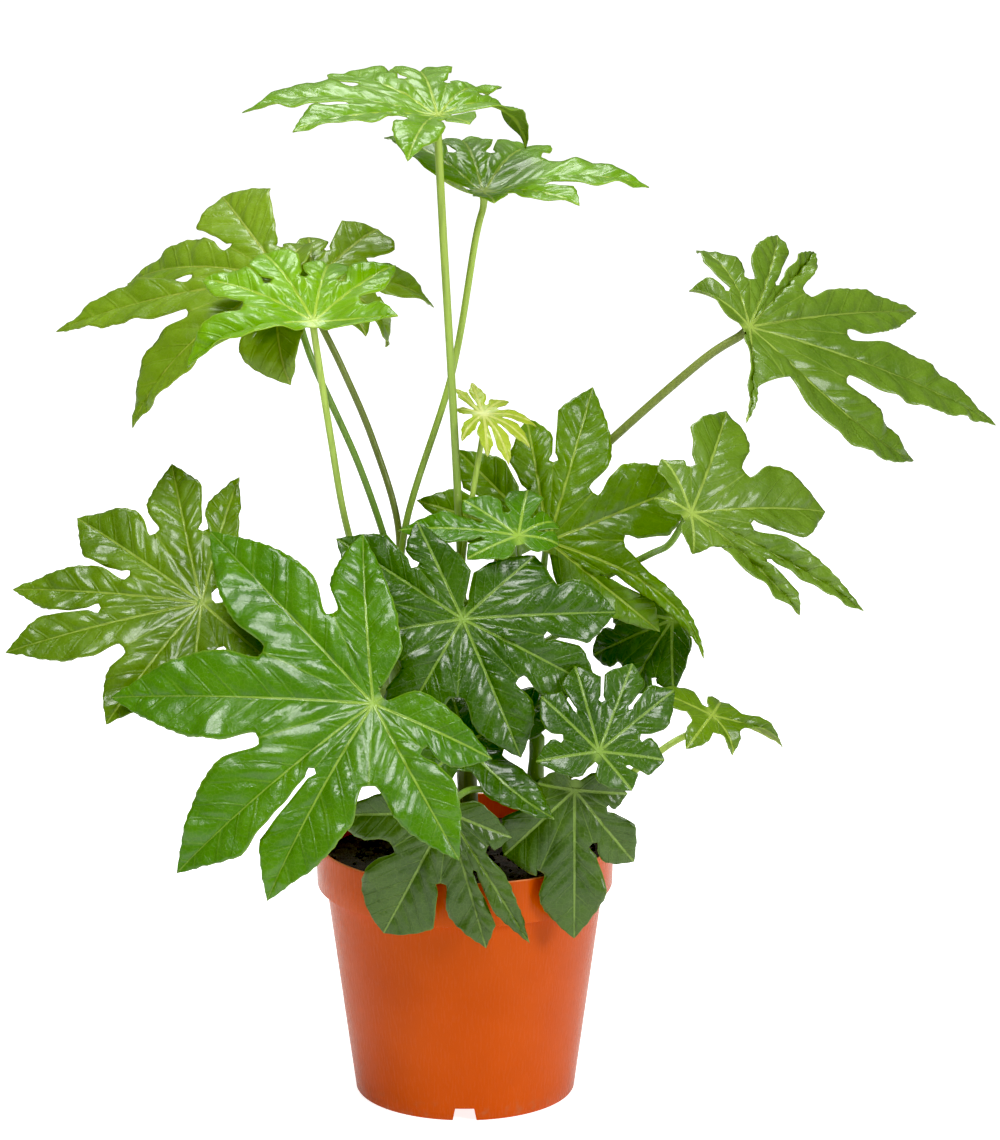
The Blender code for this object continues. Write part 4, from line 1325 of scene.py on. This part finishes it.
# %% A leaf's upper skin
def leaf_skin(name, deep, fresh, rib_colour, gloss, glow):
    """The waxy upper skin in one of the plant's greens."""
    finish = Finish(name)
    rib_map = finish.add("ShaderNodeSeparateXYZ")
    finish.link(finish.add("ShaderNodeUVMap", uv_map="UVMap").outputs["UV"],
                rib_map.inputs["Vector"])
    vein_map = finish.add("ShaderNodeSeparateXYZ")
    finish.link(finish.add("ShaderNodeUVMap", uv_map="VeinMap").outputs["UV"],
                vein_map.inputs["Vector"])
    off_rib = finish.maths("ABSOLUTE", rib_map.outputs["X"])
    run = rib_map.outputs["Y"]
    fraction = vein_map.outputs["Y"]
    fresh_share = finish.ramp(finish.noise(28, 3), 0.3, 0.7)
    skin = finish.mix(fresh_share, deep, fresh)
    panel = finish.add("ShaderNodeTexWhiteNoise", noise_dimensions="1D")
    finish.link(finish.maths("FLOOR", vein_map.outputs["X"]), panel.inputs["W"])
    skin = finish.mix(finish.maths("MULTIPLY", panel.outputs["Value"], 0.25), skin,
                      tuple(1.35 * c for c in fresh[:3]) + (1.0,))
    net = finish.add("ShaderNodeTexVoronoi", feature="DISTANCE_TO_EDGE")
    finish.link(finish.place, net.inputs["Vector"])
    net.inputs["Scale"].default_value = 330
    net_line = finish.ramp(net.outputs["Distance"], 0.10, 0.0)
    skin = finish.mix(finish.maths("MULTIPLY", net_line, 0.10), skin, rib_colour)
    nearest = finish.maths("PINGPONG", vein_map.outputs["X"], 0.5)
    side_vein = finish.ramp(nearest, 0.045, 0.01)
    side_fade = finish.ramp(fraction, 0.9, 0.1, 0.0, 0.22)
    skin = finish.mix(finish.maths("MULTIPLY", side_vein, side_fade), skin, rib_colour)
    rib_width = finish.ramp(run, 0.0, 1.4, 0.012, 0.005)
    rib = finish.ramp(finish.maths("DIVIDE", off_rib, rib_width), 1.1, 0.5)
    rib_fade = finish.ramp(run, 0.1, 1.6, 0.9, 0.45)
    skin = finish.mix(finish.maths("MULTIPLY", rib, rib_fade), skin, rib_colour)
    hub = finish.ramp(run, 0.07, 0.01, 0, 0.8)
    skin = finish.mix(hub, skin, rib_colour)
    margin = finish.ramp(fraction, 0.955, 1.0, 0, 0.4)
    skin = finish.mix(margin, skin, rib_colour)
    crinkle = finish.noise(150, 3)
    puckers = finish.noise(62, 2)
    valley = finish.ramp(nearest, 0.11, 0.0, 0, 1)
    finish.set("Base Color", skin)
    finish.set("Roughness", finish.ramp(finish.noise(120, 4), 0.35, 0.7, gloss, gloss + 0.14))
    finish.set("Specular IOR Level", 0.35)
    finish.set("Coat Weight", 0.4)
    finish.set("Coat Roughness", 0.16)
    finish.set("Coat IOR", 1.5)
    creases = finish.bump(puckers, 0.004, 0.45)
    creases = finish.bump(crinkle, 0.0016, 0.5, below=creases)
    creases = finish.bump(valley, 0.0005, 0.6, below=creases)
    creases = finish.bump(rib, 0.0006, 0.8, below=creases)
    finish.set("Normal", finish.bump(net_line, 0.00012, 0.5, below=creases))
    light_through = finish.add("ShaderNodeBsdfTranslucent")
    finish.link(finish.mix(0.35, skin, tuple(1.5 * c for c in fresh[:3]) + (1.0,)),
                light_through.inputs["Color"])
    blend = finish.add("ShaderNodeMixShader")
    blend.inputs["Fac"].default_value = glow
    finish.tree.links.new(finish.shader.outputs["BSDF"], blend.inputs[1])
    finish.tree.links.new(light_through.outputs["BSDF"], blend.inputs[2])
    finish.tree.links.new(blend.outputs["Shader"], finish.output.inputs["Surface"])
    return finish.material


def leaf_back(name, pale, rib_colour, glow):
    """The dull pale back of a blade, with its ribs."""
    finish = Finish(name)
    rib_map = finish.add("ShaderNodeSeparateXYZ")
    finish.link(finish.add("ShaderNodeUVMap", uv_map="UVMap").outputs["UV"],
                rib_map.inputs["Vector"])
    vein_map = finish.add("ShaderNodeSeparateXYZ")
    finish.link(finish.add("ShaderNodeUVMap", uv_map="VeinMap").outputs["UV"],
                vein_map.inputs["Vector"])
    skin = finish.mix(finish.ramp(finish.noise(60, 4), 0.3, 0.7, 0, 0.5), pale,
                      tuple(0.75 * c for c in pale[:3]) + (1.0,))
    nearest = finish.maths("PINGPONG", vein_map.outputs["X"], 0.5)
    side_vein = finish.ramp(nearest, 0.07, 0.01, 0, 0.5)
    off_rib = finish.maths("ABSOLUTE", rib_map.outputs["X"])
    rib = finish.ramp(off_rib, 0.02, 0.006, 0, 0.85)
    skin = finish.mix(finish.maths("MAXIMUM", side_vein, rib), skin, rib_colour)
    finish.set("Base Color", skin)
    finish.set("Roughness", finish.ramp(finish.noise(500, 2), 0.3, 0.7, 0.5, 0.62))
    veins = finish.bump(finish.maths("MAXIMUM", side_vein, rib), 0.0006, 0.7)
    finish.set("Normal", finish.bump(finish.noise(700, 3), 0.0003, 0.5, below=veins))
    light_through = finish.add("ShaderNodeBsdfTranslucent")
    finish.link(skin, light_through.inputs["Color"])
    blend = finish.add("ShaderNodeMixShader")
    blend.inputs["Fac"].default_value = glow
    finish.tree.links.new(finish.shader.outputs["BSDF"], blend.inputs[1])
    finish.tree.links.new(light_through.outputs["BSDF"], blend.inputs[2])
    finish.tree.links.new(blend.outputs["Shader"], finish.output.inputs["Surface"])
    return finish.material


print("leaf finish ready")

# %% The greens of the plant
# Each row is a deep green, a fresh green, the ribs, the gloss and how much light comes through.
GREENS = {
    "mid": (rgba(0.050, 0.165, 0.002), rgba(0.078, 0.220, 0.003), rgba(0.30, 0.48, 0.05), 0.28, 0.10),
    "soft": (rgba(0.095, 0.19, 0.010), rgba(0.14, 0.25, 0.018), rgba(0.36, 0.50, 0.08), 0.32, 0.15),
    "sage": (rgba(0.036, 0.088, 0.004), rgba(0.058, 0.122, 0.007), rgba(0.24, 0.38, 0.06), 0.36, 0.08),
    "olive": (rgba(0.085, 0.175, 0.003), rgba(0.13, 0.245, 0.006), rgba(0.36, 0.50, 0.06), 0.30, 0.15),
    "fresh": (rgba(0.125, 0.29, 0.006), rgba(0.17, 0.36, 0.012), rgba(0.46, 0.62, 0.08), 0.32, 0.20),
    "spring": (rgba(0.15, 0.36, 0.003), rgba(0.21, 0.44, 0.006), rgba(0.48, 0.66, 0.07), 0.32, 0.22),
    "meadow": (rgba(0.085, 0.19, 0.002), rgba(0.13, 0.265, 0.005), rgba(0.40, 0.55, 0.06), 0.30, 0.22),
    "yellow": (rgba(0.16, 0.29, 0.007), rgba(0.23, 0.38, 0.016), rgba(0.50, 0.60, 0.09), 0.34, 0.28),
    "deep": (rgba(0.022, 0.075, 0.0015), rgba(0.042, 0.115, 0.003), rgba(0.22, 0.36, 0.05), 0.26, 0.06),
    "lime": (rgba(0.36, 0.50, 0.02), rgba(0.48, 0.60, 0.04), rgba(0.75, 0.80, 0.22), 0.36, 0.30),
}
skins_of_leaves = {}
for name, (deep, fresh, rib_colour, gloss, glow) in GREENS.items():
    pale = tuple(0.55 * a + 0.45 * b for a, b in zip(fresh, (0.34, 0.44, 0.10, 1)))
    skins_of_leaves[name] = (
        leaf_skin("leaf_" + name, deep, fresh, rib_colour, gloss, glow),
        leaf_back("leaf_back_" + name, pale, rib_colour, glow))
print(len(skins_of_leaves), "greens")

# %% Build every blade
GREEN_OF = {
    "leaf_top": "fresh", "leaf_top_right": "fresh", "leaf_cluster_front": "spring",
    "leaf_cluster_left": "yellow", "leaf_cluster_right": "yellow", "leaf_young": "lime",
    "leaf_right_high": "soft", "leaf_right_mid": "soft", "leaf_back_centre": "meadow",
    "leaf_small_arched": "mid", "leaf_centre": "deep", "leaf_front_left": "mid",
    "leaf_left": "olive", "leaf_small_glossy": "deep", "leaf_over_rim_right": "sage",
    "leaf_over_rim_left": "sage", "leaf_inner_dark": "deep", "leaf_right_dark": "deep",
    "leaf_right_low": "olive", "leaf_rear_left": "mid",
}
for name, leaf in LEAVES.items():
    skin, back_skin = skins_of_leaves[GREEN_OF[name]]
    blade = make_blade(name, leaf, skin, back_skin)
    hand_over(blade, name.replace("leaf", "blade"), leaf.colour, name)

# %% [markdown]
# ## Finish
# The dressed plant has to fill the same box as the plain model; each blade was drawn into
# that box as it was made. The last step clears the selection and updates the scene.

# %% Clear the selection and finish
pick()
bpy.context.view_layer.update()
